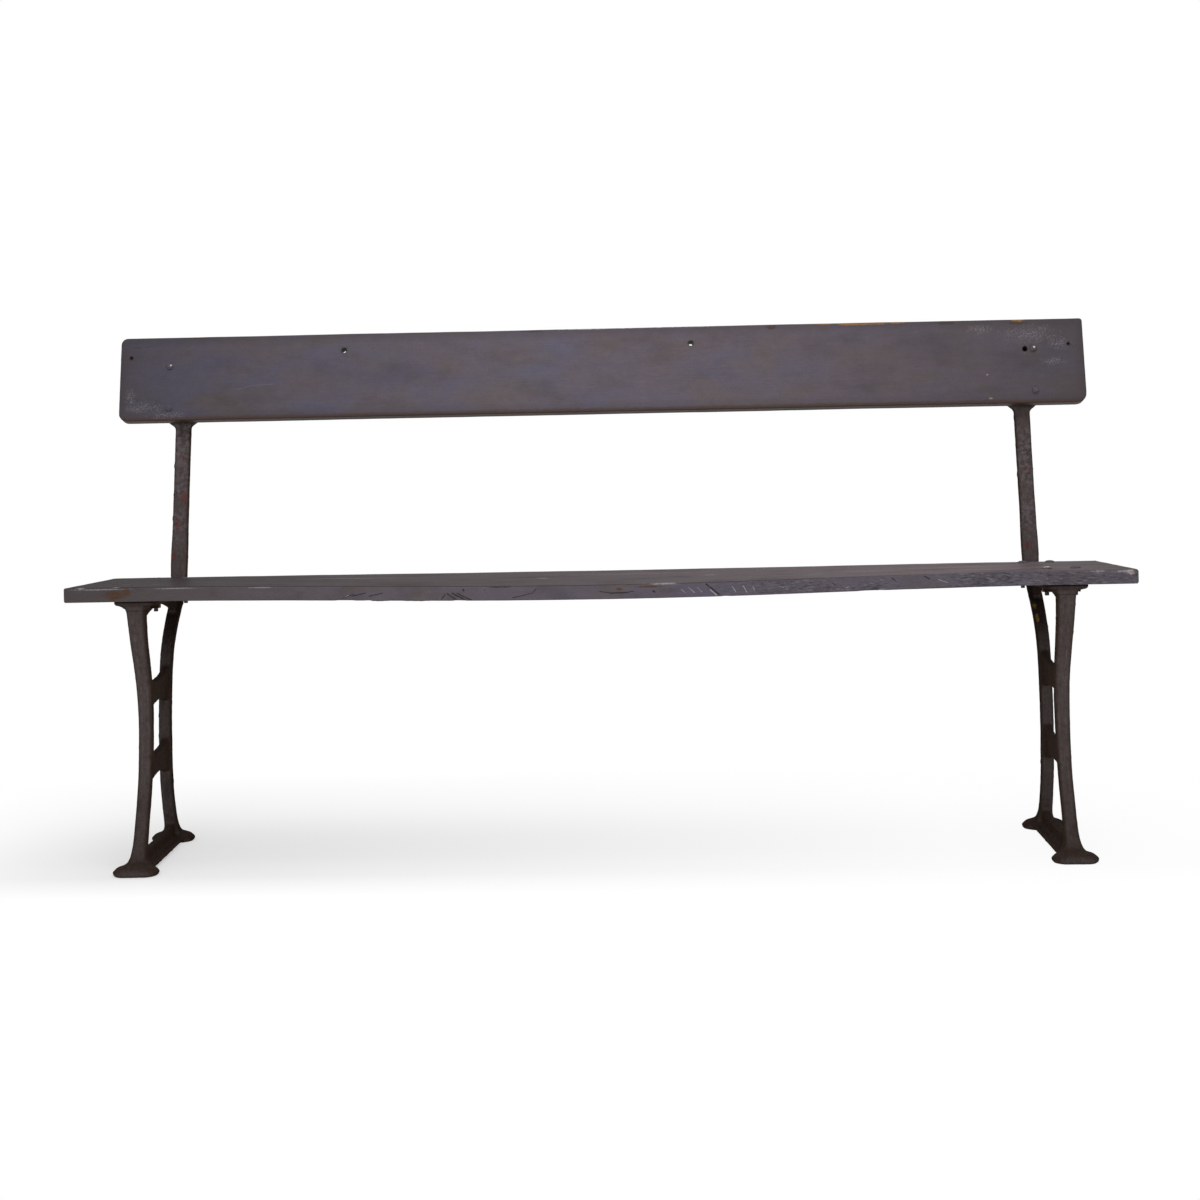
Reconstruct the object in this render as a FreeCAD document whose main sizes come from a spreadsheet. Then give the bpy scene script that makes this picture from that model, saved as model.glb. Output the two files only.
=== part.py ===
import FreeCAD, Part
import os
import Sketcher

# A plank bench: two cast-iron end frames carry one seat plank and one reclined back plank.
# Millimetres. X runs along the bench, Y from front to back, Z up, with the floor at zero.

Vector = FreeCAD.Vector
Rotation = FreeCAD.Rotation
Placement = FreeCAD.Placement

DOCUMENT = FreeCAD.newDocument("plank_bench")
SHEET = DOCUMENT.addObject("Spreadsheet::Sheet", "Sizes")

# Every driving dimension, once: alias, value, what it is.
DRIVING_SIZES = (
    ("plank_length", 1778, "length of the seat plank and of the back plank"),
    ("frame_spacing", 1548, "between the middle planes of the two end frames"),
    ("seat_depth", 305, "seat plank, front to back"),
    ("seat_thickness", 25, "seat plank"),
    ("seat_front_height", 477, "floor to the top front arris of the seat over a frame"),
    ("seat_tilt", 2.2, "degrees that the seat falls towards the back"),
    ("seat_front_sag", 10, "drop of the front edge at mid span"),
    ("seat_back_sag", 1.5, "drop of the rear edge at mid span"),
    ("seat_flat_end", 156, "length at each end that lies flat on the frame"),
    ("seat_arris", 3.5, "worn bevel of the seat's long edges"),
    ("seat_end_arris", 2, "worn bevel of the seat's end edges"),
    ("seat_worn_corner", 12, "radius of the worn rear left corner"),
    ("back_width", 160, "back plank, bottom edge to top edge"),
    ("back_thickness", 22, "back plank"),
    ("back_recline", 15, "degrees from upright"),
    ("back_rise", 289, "along the upright, from its knee to the bottom edge of the back plank"),
    ("back_arris", 2.5, "worn bevel of the back plank's front edges"),
    ("back_corner_top_left", 13, "worn corner radius"),
    ("back_corner_bottom_left", 16, "worn corner radius"),
    ("back_corner_bottom_right", 18, "worn corner radius"),
    ("back_corner_top_right", 6, "worn corner radius"),
    ("leg_width", 25, "front leg across the bench, at its waist"),
    ("leg_thickness", 19, "front leg front to back, at its waist"),
    ("leg_bevel", 4.5, "cut corners of the front leg's section"),
    ("front_leg_rise", 434, "floor to the top of the front leg"),
    ("front_leg_top_setback", 30, "middle of the front leg's top behind the seat's front edge"),
    ("front_foot_setback", -17, "middle of the front leg at the floor behind the seat's front edge"),
    ("front_leg_bow", 60, "how far the front leg bows back from its chord"),
    ("rear_width", 23, "rear leg across the bench, at its waist"),
    ("rear_thickness", 17, "rear leg front to back, at its waist"),
    ("rear_bevel", 4, "cut corners of the rear leg's section"),
    ("rear_waist_setback", 192, "middle of the rear leg's waist behind the seat's front edge"),
    ("rear_foot_kick", 34, "how far the rear foot stands behind the waist"),
    ("knee_height", 462, "floor to the knee, where the upright starts"),
    ("knee_sweep", 134, "how far the knee lies behind the waist"),
    ("upright_width", 30, "upright across the bench"),
    ("upright_thickness", 15, "upright front to back"),
    ("upright_bevel", 3.5, "cut corners of the upright's section"),
    ("palm_width", 68, "plate behind the back plank, across the bench"),
    ("palm_height", 146, "the same plate along the upright"),
    ("palm_drop", 8, "how far the palm reaches below the back plank"),
    ("palm_thickness", 8, "the same plate"),
    ("palm_proud", 1.5, "palm face in front of the upright's face"),
    ("palm_corner", 30, "corner radius of the palm"),
    ("palm_edge", 2, "bevel of the palm's rear edge"),
    ("bearer_width", 72, "plate under the seat, across the bench"),
    ("bearer_thickness", 8, "the same plate"),
    ("bearer_setback", 10, "front lip of the plate behind the seat's front edge"),
    ("bearer_end_gap", 2, "rear end of the plate in front of the seat's rear edge"),
    ("bearer_corner", 15, "corner radius of the plate"),
    ("bearer_edge", 3.5, "bevel of the plate's lower edge"),
    ("capital_depth", 38, "flare under the plate's lip, front to back"),
    ("rib_thickness", 12, "webs and ribs across the bench"),
    ("rib_depth", 10, "rib below the bearer plate at mid span"),
    ("rib_hollow", 26, "how far the rib's lower edge drops at the legs"),
    ("upper_web_height", 285, "floor to the middle of the upper web"),
    ("upper_web_depth", 37, "upper web, top to bottom at mid span"),
    ("lower_web_height", 162, "floor to the middle of the lower web"),
    ("lower_web_depth", 37, "lower web, top to bottom at mid span"),
    ("web_hollow", 13, "how far the web edges swell at the legs"),
    ("tie_rib_height", 25, "tie bar between the feet, flange to top"),
    ("tie_flange_width", 44, "foot of the tie bar across the bench"),
    ("tie_flange_thickness", 7, "the same flange"),
    ("tie_clearance", 3, "floor to the underside of the tie bar"),
    ("tie_hollow", 6, "how far the top of the tie bar dips at mid span"),
    ("foot_width", 79, "foot pad across the bench"),
    ("foot_depth", 48, "foot pad front to back"),
    ("foot_rise", 18, "top of the foot pad's dome"),
    ("pad_round_share", 0.98, "corner radius of a pad, as a share of half its depth"),
    ("foot_toe", 9, "how far the front pad's middle stands in front of its leg"),
    ("seat_bolt", 8, "seat bolt shank diameter"),
    ("seat_bolt_head", 19, "seat bolt head diameter"),
    ("seat_bolt_dome", 4, "seat bolt head height"),
    ("seat_bolt_end", 6, "shank that stands out of the nut"),
    ("seat_neck_height", 5, "square neck under the head"),
    ("seat_nut", 14, "square nut across its flats"),
    ("seat_nut_thickness", 6.5, "square nut"),
    ("seat_bolt_spread", 48, "between the two seat bolts of a pair"),
    ("seat_bolt_front", 65, "front pair behind the seat's front edge"),
    ("seat_bolt_back", 30, "rear pair in front of the seat's rear edge"),
    ("back_bolt", 6.5, "back bolt shank diameter"),
    ("back_bolt_head", 15, "back bolt head diameter"),
    ("back_bolt_dome", 3.5, "back bolt head height"),
    ("back_bolt_end", 4, "shank that stands out of the nut"),
    ("back_neck_height", 4, "square neck under the head"),
    ("dome_share", 0.72, "bevel around a bolt's head, as a share of the head's height"),
    ("back_nut", 11, "square nut across its flats"),
    ("back_nut_thickness", 5.5, "square nut"),
    ("back_bolt_offset", 22, "back bolts outside the frame's middle plane"),
    ("back_bolt_low", 24, "lower back bolt above the plank's bottom edge"),
    ("back_bolt_step", 79, "between the two back bolts of a frame"),
    ("neck_clearance", 0.2, "around the square neck in the wood, on each side"),
    ("shank_clearance", 0.3, "around a shank in the iron and in its nut"),
    ("nut_bevel", 1.2, "worn corners of the nuts"),
    ("old_hole_small", 5, "diameter of the small old holes in the back plank"),
    ("old_hole_large", 9, "diameter of the large old holes in the back plank"),
    ("cut_overrun", 5, "how far every cut runs past the surface that it leaves by"),
    ("same_place", 0.001, "two places closer than this count as one"),
)

CELL = {}


def add_cell(alias, content, note):
    """Write one named size into the sheet's next row."""
    row_number = len(CELL) + 1
    SHEET.set(f"A{row_number}", alias)
    SHEET.set(f"B{row_number}", content)
    SHEET.set(f"C{row_number}", note)
    SHEET.setAlias(f"B{row_number}", alias)
    CELL[alias] = f"Sizes.{alias}"


for alias, value, note in DRIVING_SIZES:
    add_cell(alias, str(value), note)
DOCUMENT.recompute()


def cells(formula):
    """Write a formula in plain aliases as one that reads the sheet."""
    words = []
    word = ""
    for letter in formula + " ":
        if letter.isalnum() or letter == "_":
            word += letter
            continue
        words.append(CELL.get(word, word))
        words.append(letter)
        word = ""
    return "".join(words).strip()


def bind(thing, path, formula):
    thing.setExpression(path, cells(formula))


def new_body(name):
    body = DOCUMENT.addObject("PartDesign::Body", name)
    body.Label = name
    return body


def place(body, across="0", back="0", up="0", lean=None):
    """Place a body by formulas; lean turns it about X, positive tips its top towards the front."""
    bind(body, "Placement.Base.x", across)
    bind(body, "Placement.Base.y", back)
    bind(body, "Placement.Base.z", up)
    if lean:
        body.Placement.Rotation = Rotation(Vector(1, 0, 0), 1)
        bind(body, "Placement.Rotation.Angle", lean)


def new_sketch(body, plane, name, across="0", along="0", out="0", turn=None, turn_axis=None):
    """A sketch on one of the body's own planes, moved in that plane's axes by formulas."""
    sketch = body.newObject("Sketcher::SketchObject", name)
    support = [item for item in body.Origin.OriginFeatures if item.Role == plane]
    sketch.AttachmentSupport = [(support[0], "")]
    sketch.MapMode = "FlatFace"
    if turn:
        sketch.AttachmentOffset = Placement(Vector(0, 0, 0), Rotation(turn_axis, 1))
        bind(sketch, "AttachmentOffset.Rotation.Angle", turn)
    bind(sketch, "AttachmentOffset.Base.x", across)
    bind(sketch, "AttachmentOffset.Base.y", along)
    bind(sketch, "AttachmentOffset.Base.z", out)
    return sketch


GUESS = DOCUMENT.addObject("Spreadsheet::Sheet", "Guess")


def value_of(formula):
    """The number that a formula in aliases gives now, used for a sketch's first guess."""
    GUESS.set("A1", "=" + cells(formula))
    GUESS.recompute()
    result = GUESS.get("A1")
    return float(getattr(result, "Value", result))


def dimension(sketch, kind, name, formula, *where):
    """Add one named dimension and bind it to its formula."""
    index = sketch.addConstraint(Sketcher.Constraint(kind, *where, value_of(formula)))
    sketch.renameConstraint(index, name)
    bind(sketch, f"Constraints.{name}", formula)


def locate(sketch, name, element, point, across, along):
    """Hold one point of a sketch at a place, measured from the sketch's origin."""
    dimension(sketch, "DistanceX", f"{name}_across", across, -1, 1, element, point)
    dimension(sketch, "DistanceY", f"{name}_along", along, -1, 1, element, point)


def rounded_rectangle(sketch, left, right, low, high, radii):
    """Four lines and four arcs between formulas for the sides; radii run from the low right corner round."""
    x_left, x_right, y_low, y_high = (value_of(side) for side in (left, right, low, high))
    r_lr, r_hr, r_hl, r_ll = (value_of(radius) for radius in radii)

    def arc(x, y, radius, first):
        circle = Part.Circle(Vector(x, y, 0), OUT_OF_SKETCH, radius)
        return Part.ArcOfCircle(circle, first * QUARTER_TURN, (first + 1) * QUARTER_TURN)

    sketch.addGeometry([
        Part.LineSegment(Vector(x_left + r_ll, y_low, 0), Vector(x_right - r_lr, y_low, 0)),
        arc(x_right - r_lr, y_low + r_lr, r_lr, 3),
        Part.LineSegment(Vector(x_right, y_low + r_lr, 0), Vector(x_right, y_high - r_hr, 0)),
        arc(x_right - r_hr, y_high - r_hr, r_hr, 0),
        Part.LineSegment(Vector(x_right - r_hr, y_high, 0), Vector(x_left + r_hl, y_high, 0)),
        arc(x_left + r_hl, y_high - r_hl, r_hl, 1),
        Part.LineSegment(Vector(x_left, y_high - r_hl, 0), Vector(x_left, y_low + r_ll, 0)),
        arc(x_left + r_ll, y_low + r_ll, r_ll, 2),
    ], False)
    for side in range(8):
        sketch.addConstraint(Sketcher.Constraint("Tangent", side, 2, (side + 1) % 8, 1))
    for side, direction in ((0, "Horizontal"), (2, "Vertical"), (4, "Horizontal"), (6, "Vertical")):
        sketch.addConstraint(Sketcher.Constraint(direction, side))
    for corner, (element, radius) in enumerate(zip((1, 3, 5, 7), radii), start=1):
        dimension(sketch, "Radius", f"corner_{corner}", radius, element)
    dimension(sketch, "DistanceY", "low_side", low, -1, 1, 0, 1)
    dimension(sketch, "DistanceX", "right_side", right, -1, 1, 2, 1)
    dimension(sketch, "DistanceY", "high_side", high, -1, 1, 4, 1)
    dimension(sketch, "DistanceX", "left_side", left, -1, 1, 6, 1)




def square_at(sketch, name, width, across, along):
    """A square hole's outline about a place."""
    first = len(sketch.Geometry)
    half = value_of(width) / 2
    middle = Vector(value_of(across), value_of(along), 0)
    turns = ((-1, -1), (1, -1), (1, 1), (-1, 1))
    corners = [middle + Vector(x * half, y * half, 0) for x, y in turns]
    for number in range(4):
        sketch.addGeometry(Part.LineSegment(corners[number], corners[(number + 1) % 4]), False)
    for number, (x, y) in enumerate(turns):
        sketch.addConstraint(Sketcher.Constraint("Coincident", first + number, 2, first + (number + 1) % 4, 1))
        locate(sketch, f"{name}_{number + 1}", first + number, 1,
               f"{across} + {x} * ({width}) / 2", f"{along} + {y} * ({width}) / 2")


def circle_at(sketch, name, diameter, across, along):
    centre = Vector(value_of(across), value_of(along), 0)
    ring = sketch.addGeometry(Part.Circle(centre, OUT_OF_SKETCH, value_of(diameter) / 2), False)
    dimension(sketch, "Diameter", f"{name}_bore", diameter, ring)
    locate(sketch, name, ring, 3, across, along)


def outline(sketch, corners, bends):
    """Straight or curved sides between corners.

    corners holds a pair of formulas for each corner, anticlockwise, and bends a formula or None for
    the side that starts at each corner: how far its middle bends into the outline, or out if negative.
    """
    places = [Vector(value_of(across), value_of(along), 0) for across, along in corners]
    count = len(corners)
    # A sketch's arc always runs anticlockwise, so one that bends inwards starts at its far corner.
    first_point = []
    last_point = []
    for side, bend in enumerate(bends):
        start, end = places[side], places[(side + 1) % count]
        depth = 0 if bend is None else value_of(bend)
        first_point.append(2 if depth > 0 else 1)
        last_point.append(1 if depth > 0 else 2)
        if bend is None:
            sketch.addGeometry(Part.LineSegment(start, end), False)
            continue
        inward = OUT_OF_SKETCH.cross(end - start).normalize()
        sketch.addGeometry(Part.Arc(start, (start + end) / 2 + inward * depth, end), False)
    for side in range(count):
        following = (side + 1) % count
        joint = (side, last_point[side], following, first_point[following])
        sketch.addConstraint(Sketcher.Constraint("Coincident", *joint))
    for side, bend in enumerate(bends):
        across, along = corners[side]
        locate(sketch, f"corner_{side + 1}", side, first_point[side], across, along)
        if bend is None:
            continue
        next_across, next_along = corners[(side + 1) % count]
        chord_squared = f"((({next_across}) - ({across}))^2 + (({next_along}) - ({along}))^2)"
        radius = f"({chord_squared} / 4 + ({bend})^2) / (2 * abs({bend}))"
        dimension(sketch, "Radius", f"bend_{side + 1}", radius, side)


def bevelled_rectangle(sketch, left, right, low, high, bevels):
    """A rectangle with cut corners; the cuts run anticlockwise from the low right corner."""
    low_right, high_right, high_left, low_left = bevels
    outline(sketch, (
        (f"{left} + {low_left}", low),
        (f"{right} - {low_right}", low),
        (right, f"{low} + {low_right}"),
        (right, f"{high} - {high_right}"),
        (f"{right} - {high_right}", high),
        (f"{left} + {high_left}", high),
        (left, f"{high} - {high_left}"),
        (left, f"{low} + {low_left}"),
    ), (None,) * 8)


def centred_rectangle(sketch, width, depth, bevel):
    """A bevelled rectangle about the sketch's origin."""
    bevelled_rectangle(sketch, f"0 - {width} / 2", f"{width} / 2", f"0 - {depth} / 2", f"{depth} / 2", (bevel,) * 4)


def finish_feature(body, feature):
    body.Tip = feature
    DOCUMENT.recompute()
    return feature


def pad(body, sketch, name, length, both_ways=False, backwards=False):
    feature = body.newObject("PartDesign::Pad", name)
    feature.Profile = sketch
    bind(feature, "Length", length)
    feature.Midplane = both_ways
    feature.Reversed = backwards
    return finish_feature(body, feature)


def pocket(body, sketch, name, length):
    """Cut away a sketch, against its normal, and make sure that the cut removed something."""
    before = body.Shape.Volume
    feature = body.newObject("PartDesign::Pocket", name)
    feature.Profile = sketch
    bind(feature, "Length", length)
    finish_feature(body, feature)
    if not body.Shape.Volume < before:
        raise ValueError(f"{body.Name}: {name} cuts nothing")
    return feature


def loft(body, sketches, name, ruled=False):
    feature = body.newObject("PartDesign::AdditiveLoft", name)
    feature.Profile = sketches[0]
    feature.Sections = sketches[1:]
    feature.Ruled = ruled
    return finish_feature(body, feature)


def bevel_edges(body, name, size, wanted):
    """Bevel those edges of the body's last feature that the test wants."""
    base = body.Tip
    names = [f"Edge{number}" for number, edge in enumerate(base.Shape.Edges, start=1) if wanted(edge)]
    feature = body.newObject("PartDesign::Chamfer", name)
    feature.Base = (base, names)
    bind(feature, "Size", size)
    return finish_feature(body, feature)


def lies_at(edge, axis, place):
    """Whether an edge lies in the plane across one axis at one place."""
    box = edge.BoundBox
    low = getattr(box, f"{axis}Min")
    high = getattr(box, f"{axis}Max")
    return abs(low - place) < SAME_PLACE and abs(high - place) < SAME_PLACE


OUT_OF_SKETCH = Vector(0, 0, 1)
QUARTER_TURN = FreeCAD.Units.Quantity("90 deg").getValueAs("rad").Value
SAME_PLACE = value_of("same_place")

# The plane that the seat lies on falls backwards from under the seat's front edge. A place on it
# is a distance back along the seat and a height square to it.
BEARING_FRONT = "(seat_front_height - seat_thickness * cos(seat_tilt))"


def on_bearing(back, above):
    """Formulas for the place in the floor's own directions, measured from the seat's front edge."""
    setback = f"(({back}) * cos(seat_tilt) + ({above}) * sin(seat_tilt))"
    height = f"({BEARING_FRONT} - ({back}) * sin(seat_tilt) + ({above}) * cos(seat_tilt))"
    return setback, height


# The upright leans back from the knee. A place by it is a distance up along it and one square
# to it, towards the sitter.
def by_upright(up, forward):
    setback = (f"(rear_waist_setback + knee_sweep + ({up}) * sin(back_recline)"
               f" - ({forward}) * cos(back_recline))")
    height = f"(knee_height + ({up}) * cos(back_recline) + ({forward}) * sin(back_recline))"
    return setback, height


PALM_FACE = "(upright_thickness / 2 + palm_proud)"
FRONT_PAD_SETBACK = "(front_foot_setback - foot_toe)"
REAR_PAD_SETBACK = "(rear_waist_setback + rear_foot_kick)"

# The origin lies half way between the toe of the front pad and the end of the upper back bolt.
toe_setback = f"({FRONT_PAD_SETBACK} - foot_depth / 2)"
top_bolt_rise = "(back_rise + back_bolt_low + back_bolt_step)"
bolt_end_forward = f"({PALM_FACE} - palm_thickness - back_nut_thickness - back_bolt_end)"
bolt_end_setback = f"({by_upright(top_bolt_rise, bolt_end_forward)[0]} + back_bolt / 2 * sin(back_recline))"
add_cell("origin_setback", f"=({toe_setback} + {bolt_end_setback}) / 2", "origin behind the seat's front edge")
DOCUMENT.recompute()

# The seat plank. Its own origin is the middle of its bottom rear edge, with the plank in front.
# The share of the full sag at each share of the free span on either side of the middle.
SAG_SHARES = ((-1, 0), (-0.75, 0.19), (-0.5, 0.56), (-0.25, 0.88), (0, 1),
              (0.25, 0.88), (0.5, 0.56), (0.75, 0.19), (1, 0))
FREE_HALF_SPAN = "(plank_length / 2 - seat_flat_end)"


def seat_section(body, name, station, sag_share):
    turn = f"{sag_share} * asin((seat_front_sag - seat_back_sag) / seat_depth)"
    sketch = new_sketch(body, "YZ_Plane", name, "0", f"0 - {sag_share} * seat_back_sag", station,
                        turn, OUT_OF_SKETCH)
    bevelled_rectangle(sketch, "0 - seat_depth", "0", "0", "seat_thickness", ("seat_arris",) * 4)
    return sketch


def make_seat():
    body = new_body("seat_board")
    sections = []
    for number, (span_share, sag_share) in enumerate(SAG_SHARES, start=1):
        station = f"{span_share} * {FREE_HALF_SPAN}"
        sections.append(seat_section(body, f"seat_section_{number}", station, sag_share))
    DOCUMENT.recompute()
    loft(body, sections, "sagging_span")
    pad(body, sections[0], "left_flat_end", "seat_flat_end", backwards=True)
    pad(body, sections[-1], "right_flat_end", "seat_flat_end")
    half_length = value_of("plank_length / 2")
    bevel_edges(body, "end_arris", "seat_end_arris",
                lambda edge: lies_at(edge, "X", half_length) or lies_at(edge, "X", -half_length))
    corner = new_sketch(body, "XY_Plane", "worn_corner_outline", out="seat_thickness + cut_overrun")
    left = "0 - plank_length / 2"
    outline(corner, (
        (left, "0 - seat_worn_corner"),
        (f"{left} + seat_worn_corner", "0"),
        (f"{left} + seat_worn_corner", "cut_overrun"),
        (f"{left} - cut_overrun", "cut_overrun"),
        (f"{left} - cut_overrun", "0 - seat_worn_corner"),
    ), ("seat_worn_corner * (1 - 1 / sqrt(2))", None, None, None, None))
    DOCUMENT.recompute()
    pocket(body, corner, "worn_corner", "seat_thickness + 2 * cut_overrun")
    holes = new_sketch(body, "XY_Plane", "seat_bolt_holes", out="seat_thickness + cut_overrun")
    for name, across, back in seat_bolt_places():
        square_at(holes, name, "seat_bolt + 2 * neck_clearance", across, f"{back} - seat_depth")
    DOCUMENT.recompute()
    pocket(body, holes, "bolt_holes", "seat_thickness + 2 * cut_overrun")
    setback, height = on_bearing("seat_depth", "0")
    place(body, "0", f"{setback} - origin_setback", height, "0 - seat_tilt")
    return body


def seat_bolt_places():
    """Name, place across the bench and distance behind the seat's front edge of each seat bolt."""
    for frame_name, frame_side in FRAME_SIDES:
        for row_name, back in SEAT_BOLT_ROWS:
            for side_name, side in (("outer", frame_side), ("inner", -frame_side)):
                across = f"{frame_side} * frame_spacing / 2 + {side} * seat_bolt_spread / 2"
                yield f"{frame_name}_{row_name}_{side_name}", across, back


FRAME_SIDES = (("left", -1), ("right", 1))
SEAT_BOLT_ROWS = (("front", "seat_bolt_front"), ("rear", "(seat_depth - seat_bolt_back)"))

# The back plank. Its own origin is the middle of the bottom edge of its rear face.
# Old holes: share of the length from the left end, share of the width from the bottom edge, bore.
OLD_HOLE_SHARES = (
    ("old_hole_1", 0.0115, 0.755, "old_hole_small"),
    ("old_hole_2", 0.2345, 0.795, "old_hole_large"),
    ("old_hole_3", 0.5953, 0.792, "old_hole_large"),
    ("old_hole_4", 0.9395, 0.64, "old_hole_large"),
    ("old_hole_5", 0.984, 0.69, "old_hole_small"),
)


def back_bolt_places():
    """Name, place across the bench and height on the back plank of each back bolt."""
    for frame_name, side in FRAME_SIDES:
        across = f"{side} * (frame_spacing / 2 + back_bolt_offset)"
        yield f"{frame_name}_lower", across, "back_bolt_low"
        yield f"{frame_name}_upper", across, "(back_bolt_low + back_bolt_step)"


def make_back():
    body = new_body("back_board")
    face = new_sketch(body, "XZ_Plane", "plank_outline")
    rounded_rectangle(face, "0 - plank_length / 2", "plank_length / 2", "0", "back_width",
                      ("back_corner_bottom_right", "back_corner_top_right",
                       "back_corner_top_left", "back_corner_bottom_left"))
    DOCUMENT.recompute()
    pad(body, face, "plank", "back_thickness")
    front_face = value_of("0 - back_thickness")
    bevel_edges(body, "front_arris", "back_arris", lambda edge: lies_at(edge, "Y", front_face))
    bevel_edges(body, "rear_arris", "back_arris / 2", lambda edge: lies_at(edge, "Y", 0))
    holes = new_sketch(body, "XZ_Plane", "plank_holes", out="back_thickness + cut_overrun")
    for name, across, up in back_bolt_places():
        square_at(holes, name, "back_bolt + 2 * neck_clearance", across, up)
    for name, along_share, up_share, bore in OLD_HOLE_SHARES:
        circle_at(holes, name, bore, f"({along_share} - 0.5) * plank_length", f"{up_share} * back_width")
    DOCUMENT.recompute()
    pocket(body, holes, "bolt_and_old_holes", "back_thickness + 2 * cut_overrun")
    setback, height = by_upright("back_rise", PALM_FACE)
    place(body, "0", f"{setback} - origin_setback", height, "0 - back_recline")
    return body


# The cast-iron end frame. Its own origin is on the floor, in the frame's middle plane, below the
# seat's front edge. Each station of a leg: share of the height, share of the bow or sweep, share
# of the width, share of the thickness.
FRONT_LEG_SHARES = (
    (0.03, 0.10, 1.75, 1.45),
    (0.055, 0.18, 1.22, 1.22),
    (0.10, 0.32, 1.0, 1.10),
    (0.18, 0.54, 0.95, 1.02),
    (0.30, 0.83, 0.96, 0.97),
    (0.45, 0.98, 1.0, 0.95),
    (0.60, 0.95, 1.04, 0.95),
    (0.72, 0.75, 1.08, 1.0),
    (0.82, 0.45, 1.13, 1.10),
    (0.91, 0.18, 1.19, 1.22),
    (1.0, 0.0, 1.27, 1.36),
)
REAR_LEG_SHARES = (
    (0.028, 0.93, 0.0, 1.8, 1.55),
    (0.055, 0.77, 0.0, 1.2, 1.25),
    (0.10, 0.52, 0.0, 1.02, 1.08),
    (0.16, 0.25, 0.0, 1.0, 1.0),
    (0.24, 0.04, 0.0, 1.0, 1.0),
    (0.345, 0.0, 0.0, 1.0, 1.0),
    (0.44, 0.0, 0.015, 1.0, 1.0),
    (0.53, 0.0, 0.055, 1.0, 1.0),
    (0.62, 0.0, 0.11, 1.0, 1.03),
    (0.69, 0.0, 0.18, 1.0, 1.08),
    (0.755, 0.0, 0.29, 1.0, 1.16),
    (0.82, 0.0, 0.47, 1.02, 1.28),
    (0.875, 0.0, 0.675, 1.06, 1.34),
    (0.925, 0.0, 0.865, 1.12, 1.25),
    (0.965, 0.0, 0.965, 1.2, 1.06),
)
# Each station of the upright and of the rib that it ends in behind the palm: share of the rise to
# the back plank, share of the width, share of the thickness.
UPRIGHT_SHARES = (
    (0.0, 1.0, 1.0),
    (0.25, 1.0, 1.0),
    (0.5, 0.98, 0.97),
    (0.75, 0.98, 0.94),
    (0.93, 1.0, 0.92),
    (1.1, 0.92, 0.86),
    (1.25, 0.72, 0.74),
    (1.36, 0.5, 0.62),
)
# The flare under the bearer plate: share of its drop, share of the widening.
CAPITAL_SHARES = ((1.0, 0.0), (0.6, 0.14), (0.28, 0.45), (0.08, 0.82), (0.0, 1.0))


def leg_section(body, name, setback, height, width, thickness, bevel):
    sketch = new_sketch(body, "XY_Plane", name, "0", setback, height)
    centred_rectangle(sketch, f"({width})", f"({thickness})", bevel)
    return sketch


def front_leg_setback(height_share, bow_share):
    return (f"(front_foot_setback + {height_share} * (front_leg_top_setback - front_foot_setback)"
            f" + {bow_share} * front_leg_bow)")


def rear_leg_setback(kick_share, sweep_share):
    return f"(rear_waist_setback + {kick_share} * rear_foot_kick + {sweep_share} * knee_sweep)"


def add_bearer(body):
    plate = new_sketch(body, "XY_Plane", "bearer_outline", "0", "0", BEARING_FRONT, "0 - seat_tilt", Vector(1, 0, 0))
    rounded_rectangle(plate, "0 - bearer_width / 2", "bearer_width / 2", "bearer_setback",
                      "seat_depth - bearer_end_gap", ("bearer_corner",) * 4)
    DOCUMENT.recompute()
    pad(body, plate, "bearer_plate", "bearer_thickness", backwards=True)
    down = plate.Placement.Rotation.multVec(OUT_OF_SKETCH) * -1
    depth = value_of("bearer_thickness")
    low_face = plate.Placement.Base + down * depth

    def on_low_face(edge):
        return all(abs((vertex.Point - low_face).dot(down)) < SAME_PLACE for vertex in edge.Vertexes)

    bevel_edges(body, "bearer_lower_edge", "bearer_edge", on_low_face)
    return plate


def add_front_leg(body):
    sections = []
    for number, (height, bow, width, thickness) in enumerate(FRONT_LEG_SHARES, start=1):
        sections.append(leg_section(body, f"front_leg_{number}", front_leg_setback(height, bow),
                                    f"{height} * front_leg_rise", f"{width} * leg_width",
                                    f"{thickness} * leg_thickness", "leg_bevel"))
    DOCUMENT.recompute()
    loft(body, sections, "front_leg")


def add_capital(body):
    """The flare from the leg's top to just under the rounded lip of the plate."""
    top_height, top_bow, top_width, top_thickness = FRONT_LEG_SHARES[-1]
    start_width = f"({top_width} * leg_width)"
    start_depth = f"({top_thickness} * leg_thickness)"
    start_setback = front_leg_setback(top_height, top_bow)
    end_width = "(bearer_width - 2 * bearer_edge)"
    end_setback = "(bearer_setback + bearer_edge + capital_depth / 2)"
    setback, underside = on_bearing(end_setback, "0 - bearer_thickness")
    sections = []
    for number, (drop, widening) in enumerate(CAPITAL_SHARES, start=1):
        height = f"(front_leg_rise * {drop} + ({underside} + bearer_edge / 2) * (1 - {drop}))"
        width = f"({start_width} + {widening} * ({end_width} - {start_width}))"
        depth = f"({start_depth} + {widening} * (capital_depth - {start_depth}))"
        middle = f"({start_setback} + {widening} * ({end_setback} - {start_setback}))"
        bevel = f"(leg_bevel + {widening} * (bearer_corner - bearer_edge - leg_bevel))"
        sections.append(leg_section(body, f"capital_{number}", middle, height, width, depth, bevel))
    DOCUMENT.recompute()
    loft(body, sections, "capital")


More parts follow.
